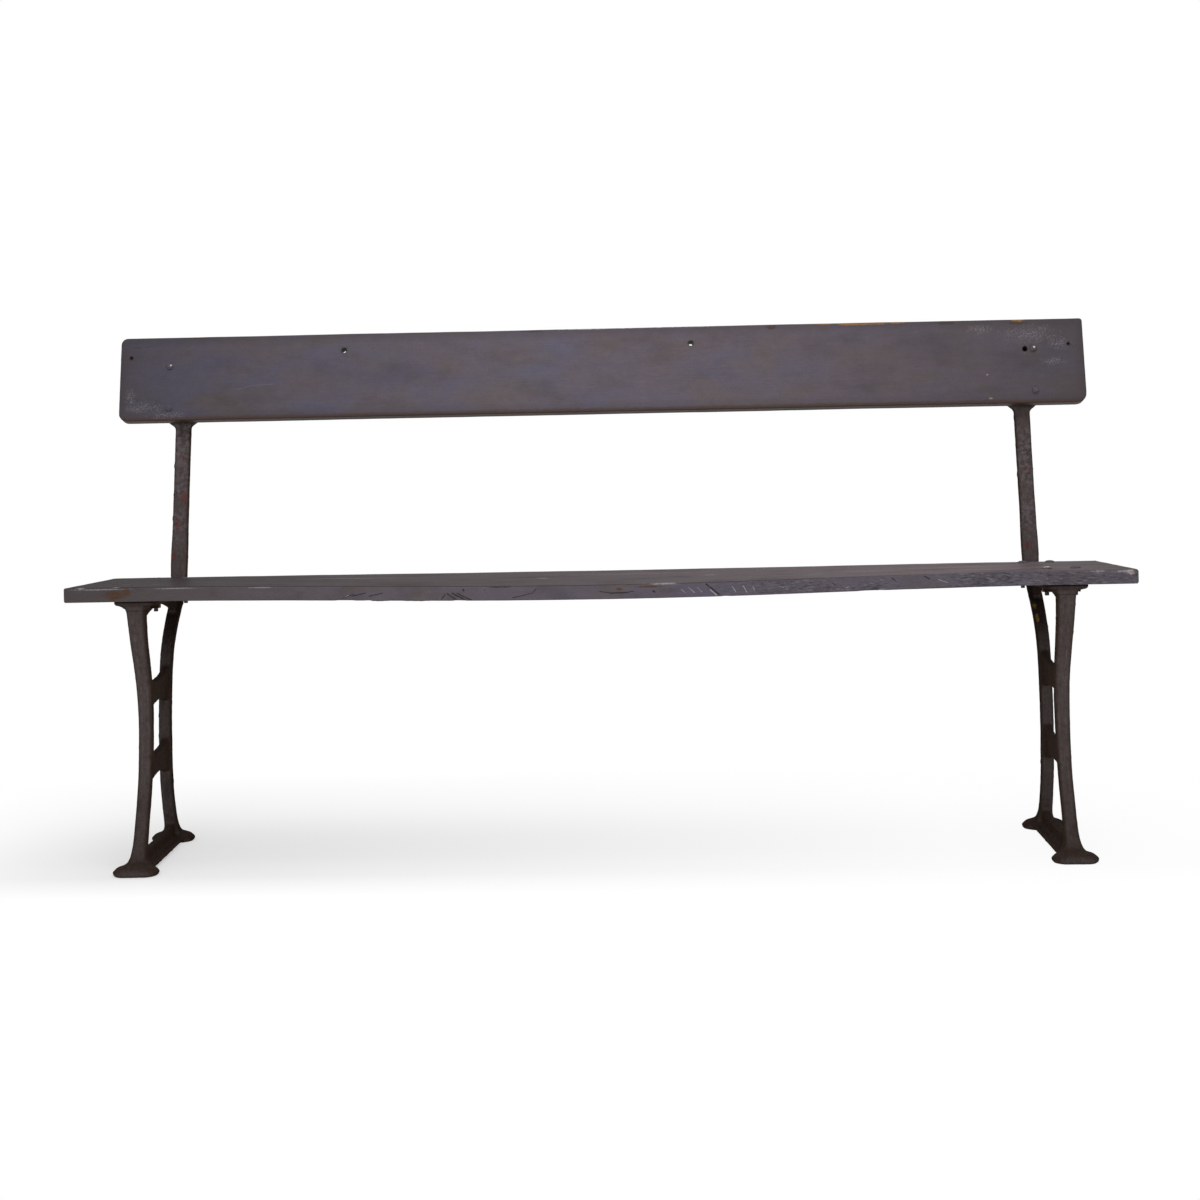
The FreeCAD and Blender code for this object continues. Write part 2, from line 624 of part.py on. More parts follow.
def add_rear_leg(body):
    sections = []
    for number, (height, kick, sweep, width, thickness) in enumerate(REAR_LEG_SHARES, start=1):
        sections.append(leg_section(body, f"rear_leg_{number}", rear_leg_setback(kick, sweep),
                                    f"{height} * knee_height", f"{width} * rear_width",
                                    f"{thickness} * rear_thickness", "rear_bevel"))
    for number, (rise, width, thickness) in enumerate(UPRIGHT_SHARES, start=1):
        forward = f"(1 - {thickness}) * upright_thickness / 2"
        setback, height = by_upright(f"{rise} * back_rise", forward)
        sections.append(leg_section(body, f"upright_{number}", setback, height, f"{width} * upright_width",
                                    f"{thickness} * upright_thickness / cos(back_recline)", "upright_bevel"))
    DOCUMENT.recompute()
    loft(body, sections, "rear_leg_and_upright")


def add_palm(body):
    setback, height = by_upright("back_rise", PALM_FACE)
    face = new_sketch(body, "XZ_Plane", "palm_outline", "0", height, f"0 - {setback}", "0 - back_recline", Vector(1, 0, 0))
    rounded_rectangle(face, "0 - palm_width / 2", "palm_width / 2", "0 - palm_drop",
                      "palm_height - palm_drop", ("palm_corner",) * 4)
    DOCUMENT.recompute()
    pad(body, face, "palm", "palm_thickness", backwards=True)


def add_web(body, name, corners, hollows):
    sketch = new_sketch(body, "YZ_Plane", f"{name}_outline")
    outline(sketch, corners, hollows)
    DOCUMENT.recompute()
    pad(body, sketch, name, "rib_thickness", both_ways=True)


def add_webs(body):
    for name, front_share, sweep_share in (("upper_web", 0.66, 0.11), ("lower_web", 0.38, 0.0)):
        front = front_leg_setback(front_share, 0.9)
        rear = rear_leg_setback("0", sweep_share)
        low = f"{name}_height - {name}_depth / 2 - web_hollow"
        high = f"{name}_height + {name}_depth / 2 + web_hollow"
        add_web(body, name, ((front, low), (rear, low), (rear, high), (front, high)),
                ("web_hollow", None, "web_hollow", None))
    front = front_leg_setback(0.93, 0.12)
    rear_low = rear_leg_setback("0", 0.675)
    rear_high = rear_leg_setback("0", 0.9)
    front_top = on_bearing(front, "0 - bearer_thickness / 2")[1]
    rear_top = on_bearing(rear_high, "0 - bearer_thickness / 2")[1]
    spring = "(0.875 * knee_height)"
    add_web(body, "bearer_rib", ((front, spring), (rear_low, spring), (rear_high, rear_top), (front, front_top)),
            ("rib_hollow", None, None, None))
    toe = front_leg_setback(0.0, 0.0)
    toe_top = front_leg_setback(0.09, 0.29)
    heel = rear_leg_setback(1, 0)
    heel_top = rear_leg_setback(0.6, 0)
    low = "tie_clearance"
    top = "tie_clearance + tie_flange_thickness + tie_rib_height"
    add_web(body, "tie_rib", ((toe, low), (heel, low), (heel_top, top), (toe_top, top)),
            (None, None, "tie_hollow", None))
    flange = new_sketch(body, "XY_Plane", "tie_flange_outline", out="tie_clearance")
    bevelled_rectangle(flange, "0 - tie_flange_width / 2", "tie_flange_width / 2", toe, heel, ("leg_bevel",) * 4)
    DOCUMENT.recompute()
    pad(body, flange, "tie_flange", "tie_flange_thickness")


# The domed pad of a foot: share of its rise, share of its plan size.
PAD_SHARES = ((0.0, 0.92), (0.33, 1.0), (0.72, 0.82), (1.0, 0.46))


def add_feet(body):
    for name, setback in (("front_pad", FRONT_PAD_SETBACK), ("rear_pad", REAR_PAD_SETBACK)):
        sections = []
        for number, (rise, spread) in enumerate(PAD_SHARES, start=1):
            sketch = new_sketch(body, "XY_Plane", f"{name}_{number}", "0", setback, f"{rise} * foot_rise")
            half_width = f"{spread} * foot_width / 2"
            half_depth = f"{spread} * foot_depth / 2"
            rounded_rectangle(sketch, f"0 - {half_width}", half_width, f"0 - {half_depth}", half_depth,
                              (f"pad_round_share * {half_depth}",) * 4)
            sections.append(sketch)
        DOCUMENT.recompute()
        loft(body, sections, name, ruled=True)


def drill_frame(body, side):
    bores = new_sketch(body, "XY_Plane", "seat_bolt_bores", "0", "0", BEARING_FRONT, "0 - seat_tilt", Vector(1, 0, 0))
    for row_name, back in SEAT_BOLT_ROWS:
        for side_name, turn in (("left", -1), ("right", 1)):
            square_at(bores, f"{row_name}_{side_name}", "seat_bolt + 2 * shank_clearance",
                      f"{turn} * seat_bolt_spread / 2", back)
    DOCUMENT.recompute()
    pocket(body, bores, "plate_bores", "bearer_thickness + cut_overrun")
    setback, height = by_upright("back_rise", PALM_FACE)
    face = new_sketch(body, "XZ_Plane", "back_bolt_bores", "0", height, f"0 - {setback}", "0 - back_recline", Vector(1, 0, 0))
    for name, up in (("lower", "back_bolt_low"), ("upper", "(back_bolt_low + back_bolt_step)")):
        square_at(face, name, "back_bolt + 2 * shank_clearance", f"{side} * back_bolt_offset", up)
    DOCUMENT.recompute()
    pocket(body, face, "palm_bores", "palm_thickness + cut_overrun")


def make_frame(name, side):
    body = new_body(name)
    add_bearer(body)
    add_front_leg(body)
    add_capital(body)
    add_rear_leg(body)
    add_palm(body)
    add_webs(body)
    add_feet(body)
    drill_frame(body, side)
    place(body, f"{side} * frame_spacing / 2", "0 - origin_setback", "0")
    return body


# A bolt's head is forged to a low dome of flat facets.
HEAD_FACETS = 12


def many_sided(sketch, radius):
    """A regular outline with one corner for each facet of a bolt's head."""
    corners = []
    for number in range(HEAD_FACETS):
        turn = f"{number} * 360 / {HEAD_FACETS}"
        corners.append((f"{radius} * cos({turn})", f"{radius} * sin({turn})"))
    outline(sketch, corners, (None,) * HEAD_FACETS)


def make_bolt(name, family, grip, place_formulas, lean):
    """A carriage bolt: low dome, square neck, round shank. Its origin is under its head."""
    body = new_body(name)
    end = new_sketch(body, "XY_Plane", "shank_outline")
    circle_at(end, "shank", f"{family}_bolt", "0", "0")
    DOCUMENT.recompute()
    pad(body, end, "shank", f"{grip} + {family}_nut_thickness + {family}_bolt_end", backwards=True)
    neck = new_sketch(body, "XY_Plane", "neck_outline")
    square_at(neck, "neck", f"{family}_bolt", "0", "0")
    DOCUMENT.recompute()
    pad(body, neck, "square_neck", f"{family}_neck_height", backwards=True)
    rim = new_sketch(body, "XY_Plane", "head_outline")
    many_sided(rim, f"{family}_bolt_head / 2")
    DOCUMENT.recompute()
    pad(body, rim, "head", f"{family}_bolt_dome")
    crown = value_of(f"{family}_bolt_dome")
    bevel_edges(body, "dome", f"dome_share * {family}_bolt_dome", lambda edge: lies_at(edge, "Z", crown))
    across, back, up = place_formulas
    place(body, across, back, up, lean)
    return body


def make_nut(name, family, place_formulas, lean):
    """A square nut. Its origin is the middle of its outer face."""
    body = new_body(name)
    face = new_sketch(body, "XY_Plane", "nut_outline")
    centred_rectangle(face, f"{family}_nut", f"{family}_nut", "nut_bevel")
    circle_at(face, "thread", f"{family}_bolt + 2 * shank_clearance", "0", "0")
    DOCUMENT.recompute()
    pad(body, face, "nut", f"{family}_nut_thickness")
    across, back, up = place_formulas
    place(body, across, back, up, lean)
    return body


def make_fasteners():
    made = []
    for name, across, back in seat_bolt_places():
        setback, height = on_bearing(back, "seat_thickness")
        made.append(make_bolt(f"{name}_seat_bolt", "seat", "(seat_thickness + bearer_thickness)",
                              (across, f"{setback} - origin_setback", height), "0 - seat_tilt"))
        setback, height = on_bearing(back, "0 - bearer_thickness - seat_nut_thickness")
        made.append(make_nut(f"{name}_seat_nut", "seat", (across, f"{setback} - origin_setback", height),
                             "0 - seat_tilt"))
    for name, across, up in back_bolt_places():
        setback, height = by_upright(f"back_rise + {up}", f"{PALM_FACE} + back_thickness")
        made.append(make_bolt(f"{name}_back_bolt", "back", "(back_thickness + palm_thickness)",
                              (across, f"{setback} - origin_setback", height), "90 - back_recline"))
        setback, height = by_upright(f"back_rise + {up}", f"{PALM_FACE} - palm_thickness - back_nut_thickness")
        made.append(make_nut(f"{name}_back_nut", "back", (across, f"{setback} - origin_setback", height),
                             "90 - back_recline"))
    return made


def check_document(bodies):
    DOCUMENT.recompute()
    for item in DOCUMENT.Objects:
        if "Invalid" in item.State or "Error" in item.State:
            raise ValueError(f"{item.Name} did not build: {item.getStatusString()}")
    for body in bodies:
        if body.Shape.isNull() or not body.Shape.isValid() or len(body.Shape.Solids) != 1:
            raise ValueError(f"{body.Label} is not one valid solid")


bodies = [make_seat(), make_back()]
for frame_name, frame_side in FRAME_SIDES:
    bodies.append(make_frame(f"{frame_name}_end_frame", frame_side))
bodies += make_fasteners()
DOCUMENT.removeObject(GUESS.Name)
check_document(bodies)

os.makedirs("parts", exist_ok=True)
for body in bodies:
    body.Shape.exportStep(f"parts/{body.Label}.step")
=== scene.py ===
# %% [markdown]
# # A plank bench on two cast-iron end frames
# The bench is old and painted over: a mauve-grey paint, brushed on by hand, covers wood and iron
# alike. This notebook dresses the CAD model of it. Each step first says what the piece or the
# finish is on the real bench, then builds it.

import math
import random

import bmesh
import bpy
from mathutils import Matrix, Vector, noise


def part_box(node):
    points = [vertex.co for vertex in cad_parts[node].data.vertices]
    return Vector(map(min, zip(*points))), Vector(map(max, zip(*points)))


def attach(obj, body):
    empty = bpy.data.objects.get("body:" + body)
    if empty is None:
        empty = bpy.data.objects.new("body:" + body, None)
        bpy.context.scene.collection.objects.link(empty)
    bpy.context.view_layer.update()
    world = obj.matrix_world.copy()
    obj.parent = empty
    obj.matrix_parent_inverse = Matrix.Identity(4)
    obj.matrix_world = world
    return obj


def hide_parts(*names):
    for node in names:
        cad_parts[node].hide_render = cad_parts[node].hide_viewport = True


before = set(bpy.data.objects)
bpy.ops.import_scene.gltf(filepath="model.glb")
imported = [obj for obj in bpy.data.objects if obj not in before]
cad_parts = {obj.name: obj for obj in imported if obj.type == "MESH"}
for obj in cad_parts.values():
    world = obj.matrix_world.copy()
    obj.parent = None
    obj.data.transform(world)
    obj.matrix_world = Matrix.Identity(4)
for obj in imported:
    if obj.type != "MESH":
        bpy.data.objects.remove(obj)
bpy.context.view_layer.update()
MM = 0.001
SEED = 7

# %% [markdown]
# ## Shader maths as plain expressions
# A worn finish is arithmetic on noise: "where this noise is high and the edge is near, show wood".
# Written with nodes one by one that is hard to read, so a small class wraps a socket, and the usual
# operators add the Math nodes behind the scenes.

# %% Wrap a socket so that expressions add nodes


class Signal:
    """One number or colour that changes over a surface."""

    def __init__(self, finish, socket):
        self.finish = finish
        self.socket = socket

    def _math(self, operation, first, second=None):
        values = {0: first} if second is None else {0: first, 1: second}
        return self.finish.node("ShaderNodeMath", {"operation": operation}, values)

    def __add__(self, other):
        return self._math("ADD", self, other)

    def __sub__(self, other):
        return self._math("SUBTRACT", self, other)

    def __rsub__(self, other):
        return self._math("SUBTRACT", other, self)

    def __mul__(self, other):
        return self._math("MULTIPLY", self, other)

    def __pow__(self, other):
        return self._math("POWER", self, other)

    __radd__ = __add__
    __rmul__ = __mul__

    def size(self):
        return self._math("ABSOLUTE", self)

    def at_most(self, other):
        return self._math("MINIMUM", self, other)

    def at_least(self, other):
        return self._math("MAXIMUM", self, other)

    def between(self, low, high):
        """0 below low, 1 above high, and a straight ramp from one to the other."""
        # Two nodes set the limits. With the Math node's own clamp the seat, which has many masks,
        # rendered black.
        return ((self - low) * (1 / (high - low))).at_least(0).at_most(1)


MATTE_ROUGHNESS = 0.9


class Finish:
    """A material under construction; its base is one Principled shader."""

    def __init__(self, name, roughness=0.5, metallic=0.0, specular=0.5):
        self.material = bpy.data.materials.new(name)
        self.material.use_nodes = True
        self.tree = self.material.node_tree
        self.tree.nodes.clear()
        self.output = self.tree.nodes.new("ShaderNodeOutputMaterial")
        self.shader = self.tree.nodes.new("ShaderNodeBsdfPrincipled")
        self.tree.links.new(self.shader.outputs[0], self.output.inputs["Surface"])
        self.shader.inputs["Roughness"].default_value = roughness
        self.shader.inputs["Metallic"].default_value = metallic
        self.shader.inputs["Specular IOR Level"].default_value = specular
        self.place = self.node("ShaderNodeTexCoord", {}, {}, "Object")

    def node(self, kind, settings=None, values=None, result=0):
        """Add a node: its settings first, then a value or a link for each named socket."""
        made = self.tree.nodes.new(kind)
        for key, value in (settings or {}).items():
            setattr(made, key, value)
        for key, value in (values or {}).items():
            self.feed(made.inputs[key], value)
        return Signal(self, made.outputs[result])

    def feed(self, socket, value):
        if isinstance(value, Signal):
            self.tree.links.new(value.socket, socket)
        else:
            socket.default_value = value

    def vector(self, operation, first, second=None, result=0):
        """Maths on places and directions."""
        values = {0: first} if second is None else {0: first, 1: second}
        return self.node("ShaderNodeVectorMath", {"operation": operation}, values, result)

    def scaled(self, first, factor):
        """A direction or a colour times a number."""
        return self.node("ShaderNodeVectorMath", {"operation": "SCALE"}, {0: first, 3: factor})

    def stretched(self, x=1.0, y=1.0, z=1.0):
        """The place on the object, with each axis scaled."""
        return self.vector("MULTIPLY", self.place, (x, y, z))

    def cloud(self, place, scale, detail=4.0, roughness=0.55, distortion=0.0):
        """Soft noise, mostly between 0.3 and 0.7."""
        values = {"Vector": place, "Scale": scale, "Detail": detail,
                  "Roughness": roughness, "Distortion": distortion}
        return self.node("ShaderNodeTexNoise", {}, values)

    def axis(self, name):
        """One coordinate of the place on the object, in metres."""
        return self.node("ShaderNodeSeparateXYZ", {}, {0: self.place}, name)

    def painted(self, name):
        """A number that was stored on each vertex of the mesh."""
        settings = {"attribute_name": name, "attribute_type": "GEOMETRY"}
        return self.node("ShaderNodeAttribute", settings, {}, "Fac")

    def blend(self, share, first, second):
        """The second colour over the first, as far as share says."""
        settings = {"data_type": "RGBA", "blend_type": "MIX"}
        return self.node("ShaderNodeMix", settings, {0: share, 6: first, 7: second}, 2)

    def tint(self, colour, strength):
        """A colour made lighter or darker by a number."""
        shade = colour if isinstance(colour, Signal) else colour[:3]
        return self.scaled(shade, strength)

    def layers(self, tone, *coats):
        """Colours laid over a tone; each coat is a mask, its strength and its colour."""
        for mask, strength, shade in coats:
            tone = self.blend(mask * strength, tone, shade)
        return tone

    def set(self, **sockets):
        for name, value in sockets.items():
            self.feed(self.shader.inputs[name.replace("_", " ")], value)

    def dull(self, share):
        """Mix in the same surface without its gloss, as far as share says."""
        matte = self.tree.nodes.new("ShaderNodeBsdfPrincipled")
        matte.inputs["Roughness"].default_value = MATTE_ROUGHNESS
        matte.inputs["Specular IOR Level"].default_value = 0.0
        for name in ("Base Color", "Normal"):
            source = self.shader.inputs[name].links[0].from_socket
            self.tree.links.new(source, matte.inputs[name])
        mix = self.tree.nodes.new("ShaderNodeMixShader")
        self.feed(mix.inputs[0], share)
        self.tree.links.new(self.shader.outputs[0], mix.inputs[1])
        self.tree.links.new(matte.outputs[0], mix.inputs[2])
        self.tree.links.new(mix.outputs[0], self.output.inputs["Surface"])

    def bump(self, height, depth, strength=1.0):
        """Let a height, times a depth in metres, tilt the surface."""
        values = {"Strength": strength, "Distance": depth, "Height": height}
        self.set(Normal=self.node("ShaderNodeBump", {}, values))


def colour(red, green, blue):
    return (red, green, blue, 1.0)


print("shader helpers ready")

# %% [markdown]
# ## The camera
# The photograph looks at the bench from a little above the seat and almost square on. The camera
# was worked out from the corners of the planks and the feet: three and a third metres in front, a
# long lens, tipped down by three degrees. The picture was cropped so that the bench sits in its
# middle, which is what the vertical shift repeats.

# %% Camera
CAMERA_PLACE = Vector((0.0935, -3.3658, 0.7726))
CAMERA_TURN = math.radians(1.554)
CAMERA_DIP = math.radians(2.993)
CAMERA_ROLL = math.radians(-1.19)
SENSOR = 36.0
LENS = 57.97
FRAME_PIXELS = 1200
LOWERED_PIXELS = 100

camera_data = bpy.data.cameras.new("camera")
camera_data.sensor_width = SENSOR
camera_data.lens = LENS
camera_data.shift_y = -LOWERED_PIXELS / FRAME_PIXELS
camera = bpy.data.objects.new("camera", camera_data)
turn = Matrix.Rotation(CAMERA_TURN, 4, "Z")
dip = Matrix.Rotation(math.pi / 2 - CAMERA_DIP, 4, "X")
roll = Matrix.Rotation(CAMERA_ROLL, 4, "Z")
camera.matrix_world = Matrix.Translation(CAMERA_PLACE) @ turn @ dip @ roll
bpy.context.scene.collection.objects.link(camera)
bpy.context.scene.camera = camera
print("camera at", tuple(CAMERA_PLACE))

# %% [markdown]
# ## Floor, backdrop and light
# The bench stands in a white studio. White is given to the camera and to reflections as a colour,
# so that it shows in a gloss but adds no light to the dull parts of a surface. The floor is plain
# white too, except round the bench, where a pale floor shows through it and takes the soft shadow,
# darker towards the left end.

# %% White surroundings
bpy.context.scene.view_settings.view_transform = "Standard"
SKY_LIGHT = 0.44
world = bpy.data.worlds.new("studio")
bpy.context.scene.world = world
world.use_nodes = True
world_nodes = world.node_tree.nodes
world_links = world.node_tree.links
world_nodes.clear()
world_output = world_nodes.new("ShaderNodeOutputWorld")
path = world_nodes.new("ShaderNodeLightPath")
white = world_nodes.new("ShaderNodeBackground")
white.inputs["Strength"].default_value = 1.0
white.inputs["Color"].default_value = colour(1, 1, 1)
soft = world_nodes.new("ShaderNodeBackground")
soft.inputs["Strength"].default_value = SKY_LIGHT
soft.inputs["Color"].default_value = colour(1.0, 0.985, 0.98)
choose = world_nodes.new("ShaderNodeMixShader")
looked_at = path.outputs["Is Camera Ray"]
for kind in ("Is Glossy Ray", "Is Transmission Ray"):
    either = world_nodes.new("ShaderNodeMath")
    either.operation = "MAXIMUM"
    world_links.new(looked_at, either.inputs[0])
    world_links.new(path.outputs[kind], either.inputs[1])
    looked_at = either.outputs[0]
world_links.new(looked_at, choose.inputs[0])
world_links.new(soft.outputs[0], choose.inputs[1])
world_links.new(white.outputs[0], choose.inputs[2])
world_links.new(choose.outputs[0], world_output.inputs["Surface"])
print("world light", SKY_LIGHT)

# %% Floor that keeps the shadow
FLOOR_REACH = 14.0
floor_mesh = bpy.data.meshes.new("floor")
reach = FLOOR_REACH / 2
floor_corners = [(-reach, -reach, 0), (reach, -reach, 0), (reach, reach, 0), (-reach, reach, 0)]
floor_mesh.from_pydata(floor_corners, [], [(0, 1, 2, 3)])
floor = bpy.data.objects.new("floor", floor_mesh)
bpy.context.scene.collection.objects.link(floor)

floor_finish = Finish("pale_floor", roughness=0.9, specular=0.0)
floor_finish.set(Base_Color=colour(0.93, 0.93, 0.93))
SHADOW_AT_MIDDLE = 0.29
SHADOW_FALL = 0.33
SHADOW_LEAST = 0.09
across_floor = floor_finish.axis("X")
shadow_depth = (SHADOW_AT_MIDDLE - across_floor * SHADOW_FALL).at_least(SHADOW_LEAST)
front_to_back = floor_finish.axis("Y")
in_depth = front_to_back.between(-0.37, -0.24) * (1 - front_to_back.between(-0.12, 0.62))
in_width = 1 - floor_finish.axis("X").size().between(0.80, 1.25)
white_share = 1 - in_depth * in_width * shadow_depth
glow = floor_finish.tree.nodes.new("ShaderNodeEmission")
glow.inputs["Strength"].default_value = 1.0
seen = floor_finish.tree.nodes.new("ShaderNodeLightPath")
floor_mix = floor_finish.tree.nodes.new("ShaderNodeMixShader")
looked_at = Signal(floor_finish, seen.outputs["Is Camera Ray"])
for kind in ("Is Glossy Ray", "Is Transmission Ray"):
    looked_at = looked_at.at_least(Signal(floor_finish, seen.outputs[kind]))
white_for_camera = looked_at * white_share
floor_finish.feed(floor_mix.inputs[0], white_for_camera)
floor_finish.tree.links.new(floor_finish.shader.outputs[0], floor_mix.inputs[1])
floor_finish.tree.links.new(glow.outputs[0], floor_mix.inputs[2])
floor_finish.tree.links.new(floor_mix.outputs[0], floor_finish.output.inputs["Surface"])
floor_mesh.materials.append(floor_finish.material)
print("floor", FLOOR_REACH, "metres across")

# %% Soft lamps


def soft_lamp(name, place, target, width, height, power):
    """A rectangular lamp that faces its target."""
    data = bpy.data.lights.new(name, "AREA")
    data.shape = "RECTANGLE"
    data.size = width
    data.size_y = height
    data.energy = power
    lamp = bpy.data.objects.new(name, data)
    lamp.location = place
    lamp.rotation_euler = (Vector(target) - Vector(place)).to_track_quat("-Z", "Y").to_euler()
    bpy.context.scene.collection.objects.link(lamp)


BENCH_MIDDLE = (0.0, 0.0, 0.55)
# Place, width and height in metres, and power in watts.
LAMPS = {"front_lamp": ((-0.5, -4.2, 2.6), 2.4, 1.6, 53),
         "top_lamp": ((0.3, -0.6, 3.4), 3.2, 2.0, 43)}
for name, (place, width, height, power) in LAMPS.items():
    soft_lamp(name, place, BENCH_MIDDLE, width, height, power)

# %% [markdown]
# ## Two helpers for building meshes
# Every visible piece is a mesh made in code. One helper turns points and faces into an object that
# rides with the bench; the other takes a finish and puts it on the piece. All pieces share the
# bench's own coordinates, so a place on the bench is the same number everywhere.

# %% Make a piece, give it a finish
BODY = "root"


def new_piece(name, points, faces, smooth=True):
    """A mesh object of the bench, with its faces turned outwards."""
    mesh = bpy.data.meshes.new(name)
    mesh.from_pydata([tuple(point) for point in points], [], faces)
    mesh.validate()
    shell = bmesh.new()
    shell.from_mesh(mesh)
    bmesh.ops.recalc_face_normals(shell, faces=shell.faces)
    shell.to_mesh(mesh)
    shell.free()
    mesh.polygons.foreach_set("use_smooth", [smooth] * len(mesh.polygons))
    piece = bpy.data.objects.new(name, mesh)
    bpy.context.scene.collection.objects.link(piece)
    return piece


def dress(piece, finish, slot, *nodes):
    """Put the finish on, and let the piece stand for its CAD nodes."""
    piece.data.materials.clear()
    piece.data.materials.append(finish.material)
    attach(piece, BODY)
    if nodes:
        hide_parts(*nodes)
    print(piece.name, len(piece.data.polygons), "faces")


def settled(piece):
    """Apply the piece's modifiers for good."""
    graph = bpy.context.evaluated_depsgraph_get()
    graph.update()
    applied = bpy.data.meshes.new_from_object(piece.evaluated_get(graph))
    piece.modifiers.clear()
    old = piece.data
    piece.data = applied
    bpy.data.meshes.remove(old)


# %% [markdown]
# ## Planks
# Both planks are boards whose edges have been rubbed round by a century of coats and trousers. A
# cube with a bevel would be too perfect. Here the skin of a box is laid out as a net of lines, fine
# near the edges and coarser in the middle. Each point is then moved: first to round the edge, then
# to round the corners of the board, and last by a little noise along the grain.

# %% A net over a box


def lines_across(length, fine, step):
    """Places from 0 to length: the fine ones near both ends, then even steps between."""
    near = [place for place in fine if place < length / 2]
    first = near[-1]
    count = max(1, round((length - 2 * first) / step))
    middle = [first + (length - 2 * first) * number / count for number in range(1, count)]
    far = [length - place for place in reversed(near)]
    return near + middle + far


def box_net(columns, rows, layers):
    """Points on the six sides of a grid, and the faces between them."""
    numbers = {}
    last = (len(columns) - 1, len(rows) - 1, len(layers) - 1)

    def number(key):
        return numbers.setdefault(key, len(numbers))

    faces = []
    for fixed in range(3):
        first, second = [axis for axis in range(3) if axis != fixed]
        for end in (0, last[fixed]):
            for i in range(last[first]):
                for j in range(last[second]):
                    corners = []
                    for step_i, step_j in ((0, 0), (1, 0), (1, 1), (0, 1)):
                        key = [0, 0, 0]
                        key[fixed] = end
                        key[first] = i + step_i
                        key[second] = j + step_j
                        corners.append(number(tuple(key)))
                    faces.append(corners)
    points = [(columns[a], rows[b], layers[c]) for a, b, c in numbers]
    return points, faces


print("lines over 25 mm:", len(lines_across(25 * MM, [0, 1 * MM, 3 * MM, 6 * MM], 4 * MM)))

# %% Round the edges and the corners of a board


class Board:
    """A board lying in its own length, width and thickness, all counted from one corner."""

    def __init__(self, length, width, thickness, arris, corners):
        self.length = length
        self.width = width
        self.thickness = thickness
        self.arris = arris
        self.corners = corners

    def nearest(self, x, u):
        """Distance in from the outline, and which edge is the nearest."""
        gaps = {"left": x, "right": self.length - x, "low": u, "high": self.width - u}
        edge = min(gaps, key=gaps.get)
        return gaps[edge], edge

    def rub_edge(self, x, u, t):
        """Turn the sharp edge between a face and a side into a round one."""
        gap, edge = self.nearest(x, u)
        upper = t > self.thickness / 2
        radius = self.arris(edge, upper, x, u)
        depth = self.thickness - t if upper else t
        if gap >= radius or depth >= radius:
            return x, u, t
        inward = radius - gap
        down = radius - depth
        reach = math.hypot(inward, down)
        new_gap = radius - radius * inward / reach
        new_depth = radius - radius * down / reach
        x = min(max(x, new_gap), self.length - new_gap)
        u = min(max(u, new_gap), self.width - new_gap)
        t = self.thickness - new_depth if upper else new_depth
        return x, u, t

    def rub_corner(self, x, u):
        """Turn the square corner of the outline into a round one."""
        side_x = "left" if x < self.length / 2 else "right"
        side_u = "low" if u < self.width / 2 else "high"
        radius = self.corners[side_x, side_u]
        centre_x = radius if side_x == "left" else self.length - radius
        centre_u = radius if side_u == "low" else self.width - radius
        out_x = (centre_x - x) if side_x == "left" else (x - centre_x)
        out_u = (centre_u - u) if side_u == "low" else (u - centre_u)
        if out_x <= 0 or out_u <= 0:
            return x, u
        share = max(out_x, out_u) / math.hypot(out_x, out_u)
        x = centre_x + (x - centre_x) * share
        u = centre_u + (u - centre_u) * share
        return x, u


def grain_noise(x, across, long_scale, cross_scale, seed):
    """Noise that runs along the grain; about -1 to 1."""
    return noise.noise(Vector((x * long_scale, across * cross_scale, seed)))


FINE = [value * MM for value in (0, 0.5, 1.2, 2, 3, 4.2, 5.6, 7.4, 9.6, 12.5)]
FINE_IN_THICKNESS = FINE[:7]
ROW_STEP = 7 * MM
LAYER_STEP = 3 * MM


def board_points(board, place, step):
    """The net of a board in the bench's frame, with each point's distance from the outline and
    its height in the thickness."""
    columns = lines_across(board.length, FINE, step)
    rows = lines_across(board.width, FINE, ROW_STEP)
    layers = lines_across(board.thickness, FINE_IN_THICKNESS, LAYER_STEP)
    net, faces = box_net(columns, rows, layers)
    points = []
    gaps = []
    rises = []
    for x, u, t in net:
        x, u, t = board.rub_edge(x, u, t)
        gap, _edge = board.nearest(x, u)
        gaps.append(gap)
        rises.append(t)
        x, u = board.rub_corner(x, u)
        points.append(place(x, u, t))
    return points, faces, gaps, rises


def store(piece, name, values):
    """Keep one number for each point, for the shader to read."""
    layer = piece.data.attributes.new(name, "FLOAT", "POINT")
    layer.data.foreach_set("value", values)


def push(piece, amount):
    """Move each point along its normal by amount(point)."""
    mesh = piece.data
    normals = [entry.vector.copy() for entry in mesh.vertex_normals]
    for vertex, normal in zip(mesh.vertices, normals):
        vertex.co += normal * amount(vertex.co, normal)


print("board helpers ready")

# %% [markdown]
# ## The seat plank
# The seat is one thick board, 70 inches long. It has sagged between the frames, more at the front
# than at the back, and it falls slightly towards the back. Its front edge is knocked about: the
# upper arris is worn round, more at the right end, and some twenty knocks are scattered along it.
# The knocks are moved into the mesh, so that they catch the light and show in the outline.

# %% Where the seat lies
SEAT_LENGTH = 1778 * MM
SEAT_DEPTH = 305 * MM
SEAT_THICKNESS = 25 * MM
SEAT_TILT = math.radians(2.2)
SEAT_FRONT = Vector((0, -192.29, 477)) * MM
SEAT_FRONT_SAG = 10 * MM
SEAT_BACK_SAG = 1.5 * MM
SAG_HALF_SPAN = 733 * MM
SAG_FULLNESS = 0.85


def sag_share(x):
    """1 at mid span, 0 over the frames and beyond."""
    away = min(abs(x) / SAG_HALF_SPAN, 1)
    return ((1 + math.cos(math.pi * away)) / 2) ** SAG_FULLNESS


